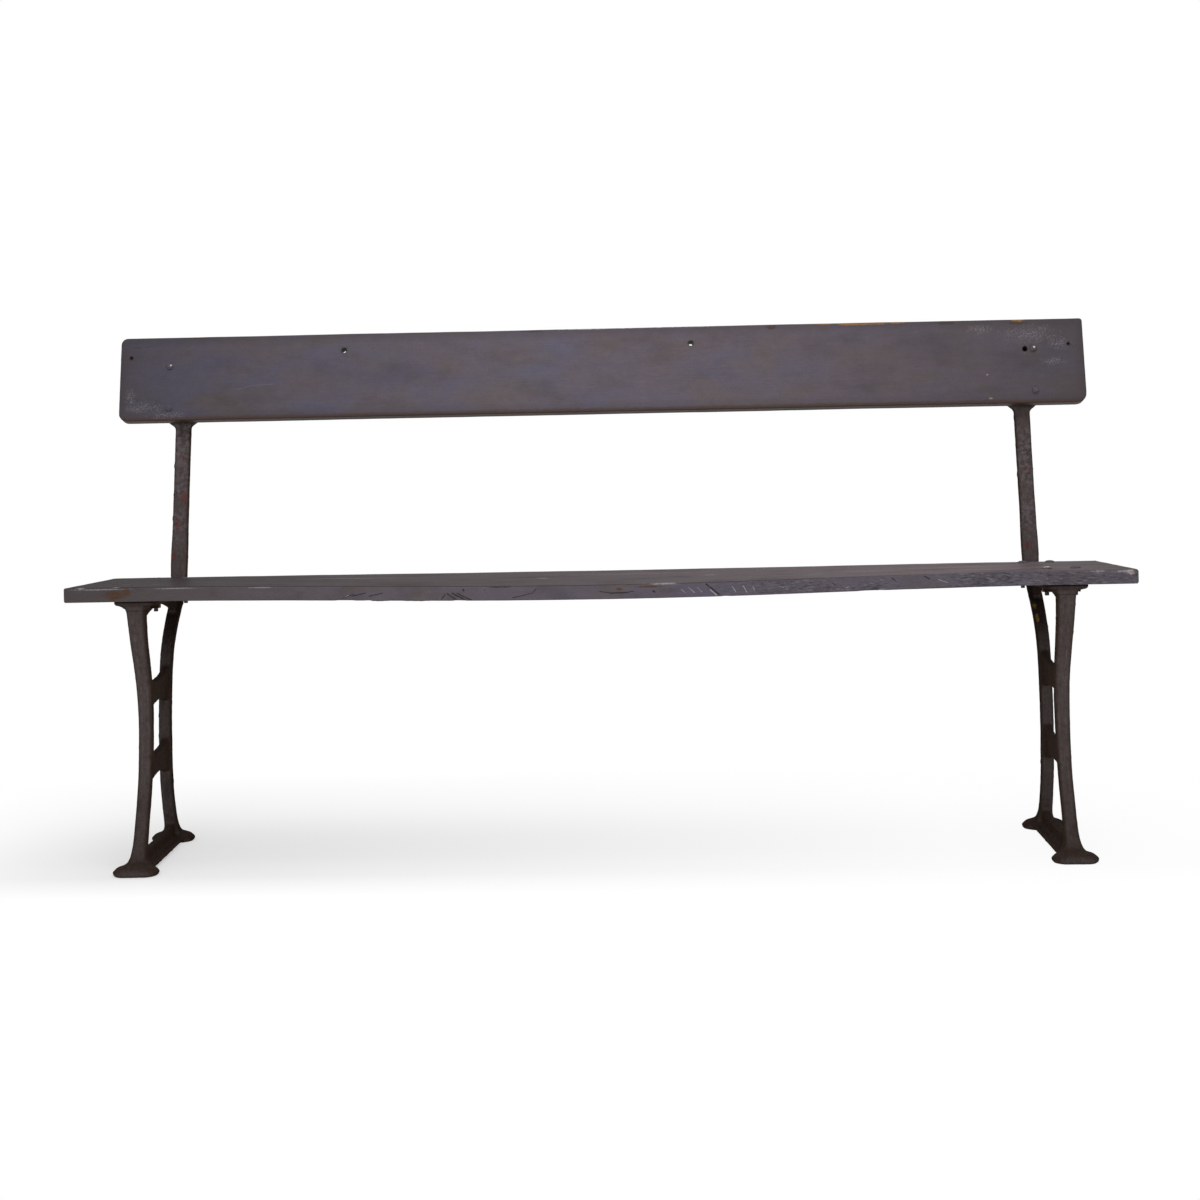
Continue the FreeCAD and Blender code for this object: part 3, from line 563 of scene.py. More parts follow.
def seat_place(x, u, t):
    """Length, distance behind the front edge and height above the underside, to the bench."""
    along = x - SEAT_LENGTH / 2
    across = u / SEAT_DEPTH
    sag = sag_share(along) * (SEAT_FRONT_SAG + (SEAT_BACK_SAG - SEAT_FRONT_SAG) * across)
    down = t - SEAT_THICKNESS
    y = SEAT_FRONT.y + u * math.cos(SEAT_TILT) + down * math.sin(SEAT_TILT)
    z = SEAT_FRONT.z - u * math.sin(SEAT_TILT) + down * math.cos(SEAT_TILT) - sag
    return Vector((along, y, z))


# %% Wear of the seat's edges
WORN_FROM = 1.60
WORN_REACH = 0.12
EXTRA_WEAR = 5.2


def seat_arris(edge, upper, x, u):
    """How round each edge is; the upper front edge varies most."""
    if edge == "low":
        base = 1.9 if upper else 1.6
        if upper:
            base += EXTRA_WEAR * min(max((x - WORN_FROM) / WORN_REACH, 0), 1)
        return (base + 1.1 * grain_noise(x, 0, 9, 1, 3.1 if upper else 8.4)) * MM
    if edge == "high":
        return (2.6 + 0.8 * grain_noise(x, 0, 7, 1, 5.7)) * MM
    base = 5.5 if edge == "right" and upper else 3.8
    return (base + 0.7 * grain_noise(u, 0, 25, 1, 6.2)) * MM


# Middle along the bench, length, how deep, and 1 for the upper edge or -1 for the lower, in mm.
SEAT_KNOCKS = [
    (-858, 30, 1.6, 1), (-640, 22, 0.9, 1), (-418, 34, 1.7, -1), (-377, 22, 1.1, -1),
    (-300, 46, -1.2, -1), (-365, 40, -1.5, -1), (-228, 26, 1.3, -1), (-183, 30, 1.5, 1),
    (-120, 60, 1.2, 1), (36, 26, 2.4, 1), (107, 60, 1.8, 1), (190, 30, 1.6, 1),
    (212, 14, 1.3, -1), (247, 18, 1.5, 1), (330, 24, 0.9, 1), (452, 50, 1.2, -1),
    (560, 36, 1.3, 1), (668, 22, 1.0, 1), (742, 40, 1.6, 1), (820, 34, 1.9, 1), (866, 18, 1.4, 1),
]
KNOCK_REACH = 9 * MM
SKIN_SHARE = 0.7
SEAT_STEP = 4 * MM
BACK_STEP = 5 * MM


def seat_knock(x, rise, depth_in):
    """How far a point near the front edge is driven in, in metres."""
    total = 0
    for middle, length, depth, side in SEAT_KNOCKS:
        away = abs(x - middle * MM) / (length * MM / 2)
        if away >= 1:
            continue
        gap = (SEAT_THICKNESS - rise) if side > 0 else rise
        near = max(0, 1 - math.hypot(gap, depth_in) / KNOCK_REACH)
        ragged = 0.65 + 0.7 * noise.noise(Vector((x * 160, rise * 90, middle)))
        total += depth * MM * (1 - away ** 2) * near * ragged
    return total


# %% Build the seat plank
seat = Board(SEAT_LENGTH, SEAT_DEPTH, SEAT_THICKNESS, seat_arris, {
    ("left", "low"): 7 * MM, ("right", "low"): 9 * MM,
    ("left", "high"): 14 * MM, ("right", "high"): 5 * MM})
seat_points, seat_faces, seat_gaps, seat_rises = board_points(seat, seat_place, SEAT_STEP)
seat_piece = new_piece("seat_plank", seat_points, seat_faces)


def seat_skin(point, normal):
    """Old brush marks, hollows between the hard rings of the wood, and the knocks."""
    x, y, z = point
    behind = y - SEAT_FRONT.y
    top = SEAT_FRONT.z - sag_share(x) * SEAT_FRONT_SAG
    rise = SEAT_THICKNESS - (top - z)
    uneven = 0.45 * grain_noise(x, y + z, 5, 30, 1.5) + 0.22 * grain_noise(x, y + z, 30, 160, 2.5)
    across = -0.6 if abs(normal.z) > 0.7 else -0.35
    worn = seat_knock(x, rise, behind) if behind < KNOCK_REACH else 0
    return (uneven + across) * MM * SKIN_SHARE - worn


push(seat_piece, seat_skin)
store(seat_piece, "rim", seat_gaps)
store(seat_piece, "rise", seat_rises)
print("seat plank from", seat_points[0][:], "with", len(seat_points), "points")

# %% [markdown]
# ## The back plank
# The back is a thinner board of the same length, bolted to the uprights and leaning back by fifteen
# degrees. Its four corners are worn to different radii. Five old holes go right through it, left
# from an earlier use; through two of the three larger ones the daylight behind shows as a sliver at
# the foot of the hole. The holes are cut with a boolean, by rough cutters that are not quite round.

# %% Build the back plank
BACK_WIDTH = 160 * MM
BACK_THICKNESS = 22 * MM
BACK_RECLINE = math.radians(15)
# Keeps the waves of the face inside the size of the board.
BACK_SET_IN = 0.62
BACK_FOOT = Vector((0, 198.85, 743.5)) * MM
UP_BOARD = Vector((0, math.sin(BACK_RECLINE), math.cos(BACK_RECLINE)))
OUT_OF_BOARD = Vector((0, -math.cos(BACK_RECLINE), math.sin(BACK_RECLINE)))


def back_place(x, u, t):
    """Length, distance up the board and distance in front of its rear face, to the bench."""
    along = Vector((x - SEAT_LENGTH / 2, 0, 0))
    return along + BACK_FOOT + UP_BOARD * u + OUT_OF_BOARD * t


def back_arris(edge, upper, x, u):
    """The front edges are rounder than the rear ones, and the top edge is worn unevenly."""
    base = 2.6 if upper else 1.4
    sway = 1.1 if edge == "high" else 0.5
    return (base + sway * grain_noise(x, u, 8, 20, 4.4)) * MM


back = Board(SEAT_LENGTH, BACK_WIDTH, BACK_THICKNESS, back_arris, {
    ("left", "low"): 16 * MM, ("right", "low"): 18 * MM,
    ("left", "high"): 13 * MM, ("right", "high"): 6 * MM})
back_points, back_faces, back_gaps, _rises = board_points(back, back_place, BACK_STEP)
back_piece = new_piece("back_plank", back_points, back_faces)


def back_skin(point, normal):
    """Gentle waves of a hand-planed board under many coats."""
    up = (point - BACK_FOOT).dot(UP_BOARD)
    uneven = 0.5 * grain_noise(point.x, up, 4, 22, 7.5)
    uneven += 0.2 * grain_noise(point.x, up, 26, 150, 9.5)
    return (uneven - BACK_SET_IN) * MM * SKIN_SHARE


push(back_piece, back_skin)
store(back_piece, "rim", back_gaps)
print("back plank has", len(back_points), "points")

# %% [markdown]
# ## Bolt holes and old holes
# A boolean with one joined cutter is quicker than one for each hole. The cutters for the bolts are
# square, as the necks of carriage bolts are; those for the old holes get ragged sides.

# %% Cut the holes
FRAME_SPACING = 1548 * MM
HALF_SPREAD = 24 * MM
SEAT_BOLT_ROWS = {"front": 65 * MM, "rear": SEAT_DEPTH - 30 * MM}
BACK_BOLT_ROWS = {"lower": 24 * MM, "upper": 103 * MM}
BACK_BOLT_OFFSET = 22 * MM
FRAME_SIDES = {"left": -1, "right": 1}
# Share along from the left end, share of the width up, and bore in mm.
OLD_HOLES = [(0.0115, 0.755, 5), (0.2345, 0.795, 9), (0.5953, 0.792, 9), (0.9395, 0.64, 9),
             (0.984, 0.69, 5)]


RINGS_OF_CUTTER = 5


def cutter(points, faces, place, x, u, reach, thickness, sides, ragged, draw):
    """Add one prism through a board to the joined cutter."""
    rings = RINGS_OF_CUTTER
    low = -PAST
    high = thickness + PAST
    first = len(points)
    for ring in range(rings):
        t = low + (high - low) * ring / (rings - 1)
        for side in range(sides):
            angle = 2 * math.pi * (side + 0.5) / sides
            out = reach * (1 + ragged * draw.uniform(-1, 1))
            points.append(place(x + out * math.cos(angle), u + out * math.sin(angle), t))
    for ring in range(rings - 1):
        for side in range(sides):
            after = (side + 1) % sides
            start = first + ring * sides
            faces.append([start + side, start + after, start + sides + after, start + sides + side])
    faces.append([first + side for side in reversed(range(sides))])
    faces.append([first + (rings - 1) * sides + side for side in range(sides)])


def cut(piece, points, faces):
    tool = new_piece("cutter", points, faces, smooth=False)
    hole = piece.modifiers.new("holes", "BOOLEAN")
    hole.operation = "DIFFERENCE"
    hole.solver = "EXACT"
    hole.object = tool
    settled(piece)
    bpy.data.objects.remove(tool)


draw = random.Random(SEED)
SEAT_HOLE = 8.4 * MM
BACK_HOLE = 6.9 * MM
PAST = 6 * MM
SQUARE = 4
OLD_HOLE_SIDES = 18
RAGGED = 0.09
holes, hole_faces = [], []
for side in FRAME_SIDES.values():
    for spread in (-HALF_SPREAD, HALF_SPREAD):
        x = SEAT_LENGTH / 2 + side * FRAME_SPACING / 2 + spread
        for u in SEAT_BOLT_ROWS.values():
            cutter(holes, hole_faces, seat_place, x, u, SEAT_HOLE / math.sqrt(2),
                   SEAT_THICKNESS, SQUARE, 0, draw)
cut(seat_piece, holes, hole_faces)
holes, hole_faces = [], []
for side in FRAME_SIDES.values():
    x = SEAT_LENGTH / 2 + side * (FRAME_SPACING / 2 + BACK_BOLT_OFFSET)
    for u in BACK_BOLT_ROWS.values():
        cutter(holes, hole_faces, back_place, x, u, BACK_HOLE / math.sqrt(2),
               BACK_THICKNESS, SQUARE, 0, draw)
for share, up, bore in OLD_HOLES:
    cutter(holes, hole_faces, back_place, share * SEAT_LENGTH, up * BACK_WIDTH, bore * MM / 2,
           BACK_THICKNESS, OLD_HOLE_SIDES, RAGGED, draw)
cut(back_piece, holes, hole_faces)
print("seat plank", len(seat_piece.data.vertices), "points; back", len(back_piece.data.vertices))

# %% [markdown]
# ## The cast-iron end frames
# Each frame was poured as one piece, so no two of its bars meet in a sharp corner: metal fills every
# inner corner. The CAD solid has crisp joints. Swelling a copy of it, turning it into a fine even
# net, and shrinking it again leaves the flat faces where they were and fills the inner corners. A
# few rounds of smoothing and some small lumps give it the skin of a sand casting under old paint.

# %% Cast the frames
SWELL = 2.6 * MM
COARSE_NET = 2.2 * MM
FINE_NET = 2.0 * MM


def lumps(point, normal):
    """Sand-cast skin: broad waves, small pimples, and no change where a foot meets the floor."""
    broad = noise.noise(point * 28) * 0.35
    small = noise.noise(point * 150 + Vector((7, 3, 1))) * 0.16
    pimple = max(0, noise.noise(point * 85 + Vector((1, 9, 4))) - 0.42) * 2.2
    return (broad + small + pimple - 0.2) * MM


def cast(node, name):
    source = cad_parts[node]
    piece = bpy.data.objects.new(name, source.data.copy())
    bpy.context.scene.collection.objects.link(piece)
    for size, swell in ((COARSE_NET, SWELL), (FINE_NET, -SWELL)):
        net = piece.modifiers.new("net", "REMESH")
        net.mode = "VOXEL"
        net.voxel_size = size
        grow = piece.modifiers.new("grow", "DISPLACE")
        grow.strength = swell
        grow.mid_level = 0
    soften = piece.modifiers.new("soften", "SMOOTH")
    soften.factor = 0.5
    soften.iterations = 4
    settled(piece)
    push(piece, lumps)
    low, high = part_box(node)
    for vertex in piece.data.vertices:
        for axis in range(3):
            vertex.co[axis] = min(max(vertex.co[axis], low[axis]), high[axis])
    piece.data.polygons.foreach_set("use_smooth", [True] * len(piece.data.polygons))
    return piece


left_frame = cast("left_end_frame", "left_casting")
right_frame = cast("right_end_frame", "right_casting")
print("castings:", len(left_frame.data.polygons), len(right_frame.data.polygons), "faces")

# %% [markdown]
# ## Carriage bolts
# A carriage bolt has a low round dome, a square neck that bites into the wood, and a round shank
# with a thread for the nut. It is drawn as rings of points from the crown to the tip: each ring has
# a height, a size, and a share of squareness. Closely spaced rings make the ridges of the thread.

# %% Turn a bolt
AROUND = 32
CROWN_STEPS = 7
THREAD_PITCH = 1.25 * MM
UNDER_HEAD = 0.0001
TIP_CHAMFER = 0.5 * MM
# Head across, dome, shank across, neck, length under the head, length of the thread.
SEAT_BOLT = (18 * MM, 3.8 * MM, 8 * MM, 5 * MM, 45.5 * MM, 15 * MM)
BACK_BOLT = (13 * MM, 2.8 * MM, 6.5 * MM, 4 * MM, 39.5 * MM, 12 * MM)
# Sizes as shares of the shank's radius, from the crest of the thread down to the tip.
CREST_SHARE = 0.97
ROOT_SHARE = 0.84
END_SHARE = 0.9
TIP_SHARE = 0.66


def ring_reach(angle, radius, squareness):
    """Distance from the axis to the outline: a circle, a square, or something between."""
    square = radius / max(abs(math.cos(angle)), abs(math.sin(angle)))
    square = min(square, radius * 1.3)
    return radius + (square - radius) * squareness


def bolt(name, origin, axis, sizes, sunk=0):
    """The origin is under the head; the axis points out of the wood."""
    head, dome, shank, neck, length, threaded = sizes
    length -= sunk
    radius = shank / 2
    crest = radius * CREST_SHARE
    rings = []
    for step in range(1, CROWN_STEPS + 1):
        turn = math.pi / 2 * step / CROWN_STEPS
        height = dome * math.cos(turn) ** 0.9 if step < CROWN_STEPS else dome * 0.12
        rings.append((height, head / 2 * math.sin(turn), 0))
    rings += [(0, head / 2 * 0.97, 0), (-UNDER_HEAD, radius * 1.05, 1), (-neck * 0.8, radius, 1)]
    rings += [(-neck, crest, 0.2), (-neck - 1 * MM, crest, 0)]
    low = length - threaded
    for number in range(int(threaded / THREAD_PITCH)):
        start = -low - number * THREAD_PITCH
        rings += [(start, crest, 0), (start - THREAD_PITCH / 2, radius * ROOT_SHARE, 0)]
    rings += [(-length + TIP_CHAMFER, radius * END_SHARE, 0), (-length, radius * TIP_SHARE, 0)]
    side_way = Vector((1, 0, 0))
    up_way = axis.cross(side_way)
    points = [origin + axis * dome]
    for height, ring_radius, squareness in rings:
        for number in range(AROUND):
            angle = 2 * math.pi * number / AROUND
            reach = ring_reach(angle, ring_radius, squareness)
            way = side_way * math.cos(angle) + up_way * math.sin(angle)
            points.append(origin + axis * height + way * reach)
    points.append(origin - axis * length)
    tip = len(points) - 1
    faces = []
    for number in range(AROUND):
        after = (number + 1) % AROUND
        faces.append([0, 1 + number, 1 + after])
        for ring in range(len(rings) - 1):
            start = 1 + ring * AROUND
            faces.append([start + number, start + AROUND + number, start + AROUND + after, start + after])
        start = 1 + (len(rings) - 1) * AROUND
        faces.append([start + number, tip, start + after])
    return new_piece(name, points, faces)


SEAT_NORMAL = Vector((0, math.sin(SEAT_TILT), math.cos(SEAT_TILT)))
SUNK = {"left": 2.4 * MM, "right": 0.6 * MM}
bolts = {}
for side_name, side in FRAME_SIDES.items():
    for place_name, way in (("outer", side), ("inner", -side)):
        for row, u in SEAT_BOLT_ROWS.items():
            x = side * FRAME_SPACING / 2 + way * HALF_SPREAD
            sunk = SUNK[side_name]
            under_head = seat_place(x + SEAT_LENGTH / 2, u, SEAT_THICKNESS - sunk)
            node = f"{side_name}_{row}_{place_name}_seat_bolt"
            bolts[node] = bolt(f"{node}_round", under_head, SEAT_NORMAL, SEAT_BOLT, sunk)
    for row, u in BACK_BOLT_ROWS.items():
        x = side * (FRAME_SPACING / 2 + BACK_BOLT_OFFSET)
        under_head = back_place(x + SEAT_LENGTH / 2, u, BACK_THICKNESS)
        node = f"{side_name}_{row}_back_bolt"
        bolts[node] = bolt(f"{node}_round", under_head, OUT_OF_BOARD, BACK_BOLT)
print(len(bolts), "bolts")

# %% [markdown]
# ## Old paint on wood
# The wood carries several coats of a cheap mauve-grey paint. It was brushed along the boards, so
# every change of tone is drawn out along them: bluish, brownish and greyer patches, fine brush
# lines, grime near the rims. Where the paint has gone, a brown undercoat shows, and then the wood.
# Broad changes come from noise that is stretched along the board. Marks that sit at one place, such
# as a bare corner or a scratch, are masks round a place on the bench.

# %% Masks at a place


def patch(finish, middle, size, ragged=0.9, edge=0.45, scale=90):
    """1 inside a rough blob round a place, 0 outside; size is its half lengths in metres."""
    away = finish.vector("SUBTRACT", finish.place, middle)
    scaled = finish.vector("DIVIDE", away, size)
    length = finish.vector("LENGTH", scaled, result="Value")
    rough = finish.cloud(finish.place, scale, detail=6.0, roughness=0.7)
    return (1 + (rough - 0.5) * ragged * 2 - length).between(0, edge)


def scratch(finish, start, end, width):
    """1 on the line between two places, 0 beyond its width."""
    way = Vector(end) - Vector(start)
    away = finish.vector("SUBTRACT", finish.place, start)
    along = finish.vector("DOT_PRODUCT", away, way, "Value")
    share = (along * (1 / way.length_squared)).between(0, 1)
    foot = finish.scaled(way, share)
    rest = finish.vector("SUBTRACT", away, foot)
    gap = finish.vector("LENGTH", rest, result="Value")
    wobble = finish.cloud(finish.place, 260, detail=2.0)
    return (1 - gap * (1 / width) + (wobble - 0.5) * 1.2).between(0, 0.6)


def any_of(masks):
    """The strongest of several masks, taken in as they are made."""
    total = next(masks)
    for mask in masks:
        total = total.at_least(mask)
    return total


def patches(finish, place, marks, ragged=0.9, edge=0.45, scale=90):
    """Blobs at a list of marks: the numbers of the place first, then three half sizes in mm."""
    return any_of(patch(finish, place(*mark[:-3]), tuple(value * MM for value in mark[-3:]),
                        ragged, edge, scale) for mark in marks)


def lines(finish, place, marks):
    """Lines at a list of marks: two numbers for each end, and the width in mm."""
    return any_of(scratch(finish, place(x, u), place(end_x, end_u), width * MM)
                  for x, u, end_x, end_u, width in marks)


def facing(finish, axis):
    """How far the surface looks along an axis of the bench, from -1 to 1."""
    normal = finish.node("ShaderNodeNewGeometry", {}, {}, "Normal")
    return finish.node("ShaderNodeSeparateXYZ", {}, {0: normal}, axis)


print("masks ready")

# %% Colours of the paint and of what lies under it
MAUVE = colour(0.108, 0.088, 0.108)
BLUE_GREY = colour(0.084, 0.080, 0.122)
BROWN_GREY = colour(0.105, 0.084, 0.073)
GRIME = colour(0.036, 0.028, 0.029)
UNDERCOAT = colour(0.055, 0.030, 0.020)
BARE_WOOD = colour(0.33, 0.175, 0.062)
CHALK = colour(0.46, 0.44, 0.46)


def paint_tone(finish, blue_share, brown_share):
    """Mauve paint with bluish and brownish clouds and brush lines, and the lines alone."""
    broad = finish.cloud(finish.stretched(1.0, 2.2, 2.2), 6.0, detail=6.0, roughness=0.62)
    other = finish.cloud(finish.stretched(1.2, 2.6, 2.6), 9.0, detail=5.0, distortion=0.5)
    brush = finish.cloud(finish.stretched(3.0, 120.0, 120.0), 6.0, detail=4.0, roughness=0.65)
    speck = finish.cloud(finish.place, 380, detail=4.0, roughness=0.75)
    blot = finish.cloud(finish.stretched(1.0, 1.4, 1.4), 45, detail=5.0, roughness=0.65)
    tone = finish.blend(broad.between(0.45, 0.62) * blue_share, MAUVE, BLUE_GREY)
    tone = finish.blend(other.between(0.46, 0.64) * brown_share, tone, BROWN_GREY)
    strength = 0.30 + broad * 0.30 + brush * 0.32 + speck * 0.42 + blot * 0.36
    return finish.tint(tone, strength), brush, speck


print("paint colours ready")

# %% [markdown]
# ### The seat's paint
# People sat on this board: its top is browner and a little polished. Its front edge is bluer. A
# thin dark line runs between the two, along the arris. The marks below follow those of the real
# board: bare brown near the left frame, pale marks on both ends that are partly scuffs and partly
# painted highlights on the rounded arris, a long bare streak, brown smears, a row of scratches right
# of the middle, dark cracks, and on top long faint rubs. Each is given by how far along the bench it
# lies and how high on the front edge, in millimetres.

# %% Marks on the seat


def on_front(x, t, behind=0):
    """A place on the seat's front edge, from millimetres along, up, and in behind the edge."""
    return tuple(seat_place(SEAT_LENGTH / 2 + x * MM, behind * MM, t * MM))


# Along, up, behind the edge; then half sizes along, front to back, and up, all in mm.
SEAT_BARE = [(-800, 11, 0, 20, 12, 9), (-783, 16, 0, 9, 12, 8), (84, 20, 0, 30, 6, 2.0),
             (452, 1, 0, 16, 10, 3), (36, 17, 0, 6, 6, 3.2)]
SEAT_SMEARS = [(-638, 13, 0, 16, 8, 11), (-495, 10, 0, 14, 8, 9),
               (118, 14, 0, 26, 8, 8), (300, 5, 0, 40, 8, 5), (560, 2, 0, 60, 8, 4)]
# The streaks and scuffs on the rounded arris near both ends are painted highlights, where the arris
# catches the light; the others are pale wear.
SEAT_STREAKS_AND_HIGHLIGHTS = [(108, 25, 5, 32, 7, 2.2), (-858, 24, 1, 9, 4, 1.5), (-800, 25, 1, 10, 4, 1.4),
                (874, 20, 4, 7, 9, 5)]
SEAT_SCUFFS_AND_HIGHLIGHTS = [(862, 21, 0, 17, 10, 2.6), (822, 22, 1, 12, 8, 2.2), (-826, 21.5, 0, 58, 5, 1.5),
               (-700, 21.5, 0, 44, 5, 1.3), (-560, 22, 0, 26, 5, 1.2), (108, 23.2, 0, 30, 4, 1.0),
               (-98, 25, 150, 13, 8, 2), (190, 25, 150, 18, 7, 2)]
SEAT_RUBS = [(330, 25, 90, 110, 18, 3), (440, 25, 130, 150, 30, 3), (600, 25, 170, 170, 30, 3),
             (640, 25, 80, 120, 24, 3), (-420, 25, 190, 160, 24, 3), (60, 25, 220, 180, 26, 3)]
# Along and up at each end, and the width in mm.
SEAT_SCRATCHES = [(186, 12, 196, 3, 1.3), (150, 17, 160, 8, 0.8), (165, 16, 172, 9, 0.7),
                  (138, 14, 145, 8, 0.7), (222, 16, 228, 7, 0.8), (240, 17, 246, 6, 0.9),
                  (256, 15, 259, 8, 0.7), (300, 14, 314, 8, 0.6), (560, 15, 576, 9, 0.7),
                  (640, 16, 650, 9, 0.6), (402, 4, 414, 9, 0.8), (-424, 5, -412, 9, 0.7)]
SEAT_CRACKS = [(180, 21, 200, 4, 2.0), (4, 13.5, 26, 10.5, 1.2), (22, 10.5, 50, 11, 1.8),
               (46, 11, 60, 13, 1.0), (-186, 22.5, -142, 23, 1.2), (-188, 22, -186, 17, 1.0),
               (-108, 12, -100, 21, 1.1), (-140, 5, -108, 12, 1.0), (-258, 3, -252, 11, 1.1),
               (-248, 12, -232, 1, 1.3), (-240, 13, -219, 2, 1.7), (-232, 13, -213, 3, 1.3),
               (-226, 9, -208, 2, 1.1), (-222, 19, -221, 17, 1.8), (92, 12, 94, 11, 2.2),
               (-424, 4, -404, 11, 1.3), (-406, 8, -384, 13, 1.2), (-378, 8, -356, 13, 1.1),
               (484, 20, 492, 14, 1.1), (538, 21, 546, 16, 1.2), (612, 19, 618, 13, 1.0),
               (664, 20, 676, 15, 1.0), (386, 16, 392, 12, 0.9)]

# %% Paint the seat
SEAT_TOP = colour(0.112, 0.088, 0.089)
WOOD_STAIN = colour(0.115, 0.055, 0.027)
SMEAR_BROWN = colour(0.062, 0.044, 0.034)
PALE_STREAK = colour(0.50, 0.42, 0.38)
CRACK_DARK = colour(0.012, 0.009, 0.010)
SLIVER_SHADOW = colour(0.020, 0.016, 0.020)
SLIVER_SLANT = math.radians(-38)
SLIVERS_PER_METRE = (95, 20, 430)
DARK_LINE_RISE = 0.0243
DARK_LINE_WIDTH = 0.0013
TOP_EDGE_WEAR = 0.010
seat_finish = Finish("painted_seat", roughness=0.48, specular=0.20)
upward = facing(seat_finish, "Z").between(0.5, 0.8)
forward = (facing(seat_finish, "Y") * -1).between(0.5, 0.8)
underneath = (facing(seat_finish, "Z") * -1).between(0.5, 0.8)
along = seat_finish.axis("X")
rim = seat_finish.painted("rim")
rise = seat_finish.painted("rise")
tone, brush, speck = paint_tone(seat_finish, 0.5, 0.6)
tone = seat_finish.blend(upward * 0.65, tone, SEAT_TOP)
tone = seat_finish.blend(forward * along.between(-0.6, 0.3) * 0.15, tone, BLUE_GREY)
tone = seat_finish.blend(forward * (1 - along.between(-0.75, -0.2)) * 0.45, tone, BROWN_GREY)
# Painted light and shade: the front edge is painted darker towards the left end, the top darker at the
# left end and lighter towards the right, and both darker again at the right end, as the light falls off.
left_end_shade = (along * -1 - 0.35).at_least(0) * 0.75
right_end = along.between(0.74, 0.86)
top_painted_light = (along * 0.55 + 0.88).at_most(1.18) - right_end * 0.25
tone = seat_finish.tint(tone, 1 - upward * (1 - top_painted_light) - forward * (left_end_shade + right_end * 0.12))
wide = seat_finish.cloud(seat_finish.stretched(1.0, 1.8, 1.8), 9.0, detail=6.0, roughness=0.62)
tone = seat_finish.blend(wide.between(0.50, 0.70) * 0.5, tone, GRIME)
# A thin dark line along the arris, between the top and the front edge.
wobble = seat_finish.cloud(seat_finish.place, 40, detail=5.0, roughness=0.7)
line_gap = (rise - DARK_LINE_RISE + (wobble - 0.5) * 0.0016).size()
near_front = (1 - (seat_finish.axis("Y") + 0.186).between(0, 0.003)) * (1 - underneath)
arris_dark_line = (1 - line_gap * (1 / DARK_LINE_WIDTH)).between(0, 0.7)
arris_dark_line = arris_dark_line * near_front * (1 - along.between(0.25, 0.75))
tone = seat_finish.blend(arris_dark_line * 0.75, tone, GRIME)
wear = seat_finish.cloud(seat_finish.stretched(1.0, 2.0, 2.0), 70, detail=8.0, roughness=0.74)
side_gap = (rise - 0.0125).size().between(0.0085, 0.0125)
edge_wear = side_gap * forward * wear.between(0.60, 0.66)
top_wear = (1 - rim * (1 / TOP_EDGE_WEAR)).between(0, 1) * upward * wear.between(0.56, 0.64)
undercoat_mask = edge_wear.at_least(top_wear).at_least(underneath * wear.between(0.45, 0.6) * 0.6)
tone = seat_finish.blend(undercoat_mask * 0.7, tone, UNDERCOAT)
bare = patches(seat_finish, on_front, SEAT_BARE)
grain = seat_finish.cloud(seat_finish.stretched(2.0, 60.0, 60.0), 14.0, detail=5.0)
tone = seat_finish.blend(bare * 0.85, tone, seat_finish.tint(WOOD_STAIN, 0.1 + grain * 1.1))
smears = patches(seat_finish, on_front, SEAT_SMEARS, 0.9, 1.0, 60)
tone = seat_finish.blend(smears * 0.5, tone, SMEAR_BROWN)
# Pale streaks and scuffs: partly wear, partly painted highlights on the rounded arris near both ends.
streaks_and_highlights = patches(seat_finish, on_front, SEAT_STREAKS_AND_HIGHLIGHTS, 1.1, 0.5, 160)
tone = seat_finish.blend(streaks_and_highlights * 0.62, tone, PALE_STREAK)
pale_marks = patches(seat_finish, on_front, SEAT_SCUFFS_AND_HIGHLIGHTS, 1.5, 0.8, 260)
scratches = lines(seat_finish, on_front, SEAT_SCRATCHES)
cracks = lines(seat_finish, on_front, SEAT_CRACKS)
rubs = patches(seat_finish, on_front, SEAT_RUBS, 1.2, 1.2, 45)
tone = seat_finish.layers(tone, (rubs, 0.12, CHALK), (pale_marks, 0.42, CHALK),
                          (cracks, 0.92, CRACK_DARK), (scratches, 0.6, CHALK))

# Short slanting slivers of lifted paint, crowded on the right half of the front edge.
# Each is drawn as a painted shadow beside a painted highlight.
slant = seat_finish.node("ShaderNodeMapping", {}, {
    0: seat_finish.place, "Rotation": (0, SLIVER_SLANT, 0), "Scale": SLIVERS_PER_METRE})
sliver = seat_finish.cloud(slant, 1.0, detail=3.0, roughness=0.5)
crowd = forward * along.between(0.1, 0.35) * wide.between(0.36, 0.52)
sliver_shadow = sliver.between(0.565, 0.61) * crowd
sliver_highlight = (1 - sliver.between(0.37, 0.41)) * crowd
tone = seat_finish.layers(tone, (sliver_shadow, 0.6, SLIVER_SHADOW), (sliver_highlight, 0.16, CHALK))
seat_finish.set(Base_Color=tone)
seat_finish.set(Roughness=0.36 - upward * 0.10 + brush * 0.12 + wide * 0.16 + bare * 0.2)
seat_finish.bump(brush * 0.3 + speck * 0.35 + wide * 0.4 + sliver * 0.6 * forward - wear * 0.3,
                 0.9 * MM, 0.75)
seat_finish.dull(upward.at_least(underneath) * 0.82)
dress(seat_piece, seat_finish, "seat_wood", "seat_board")

# %% [markdown]
# ### The back's paint
# The back plank was touched less. Its middle is paler and greyer than its ends; the paler middle is
# painted light that falls off towards the ends. Dirt has gathered in a band along its whole outline.
# Its lower edge is a dark brown line. On the top edge the paint is gone for a hand's length, down to
# orange wood, and flecked white elsewhere. Its marks are given by how far along the bench and how far
# up the board they lie, in millimetres.

# %% Marks on the back


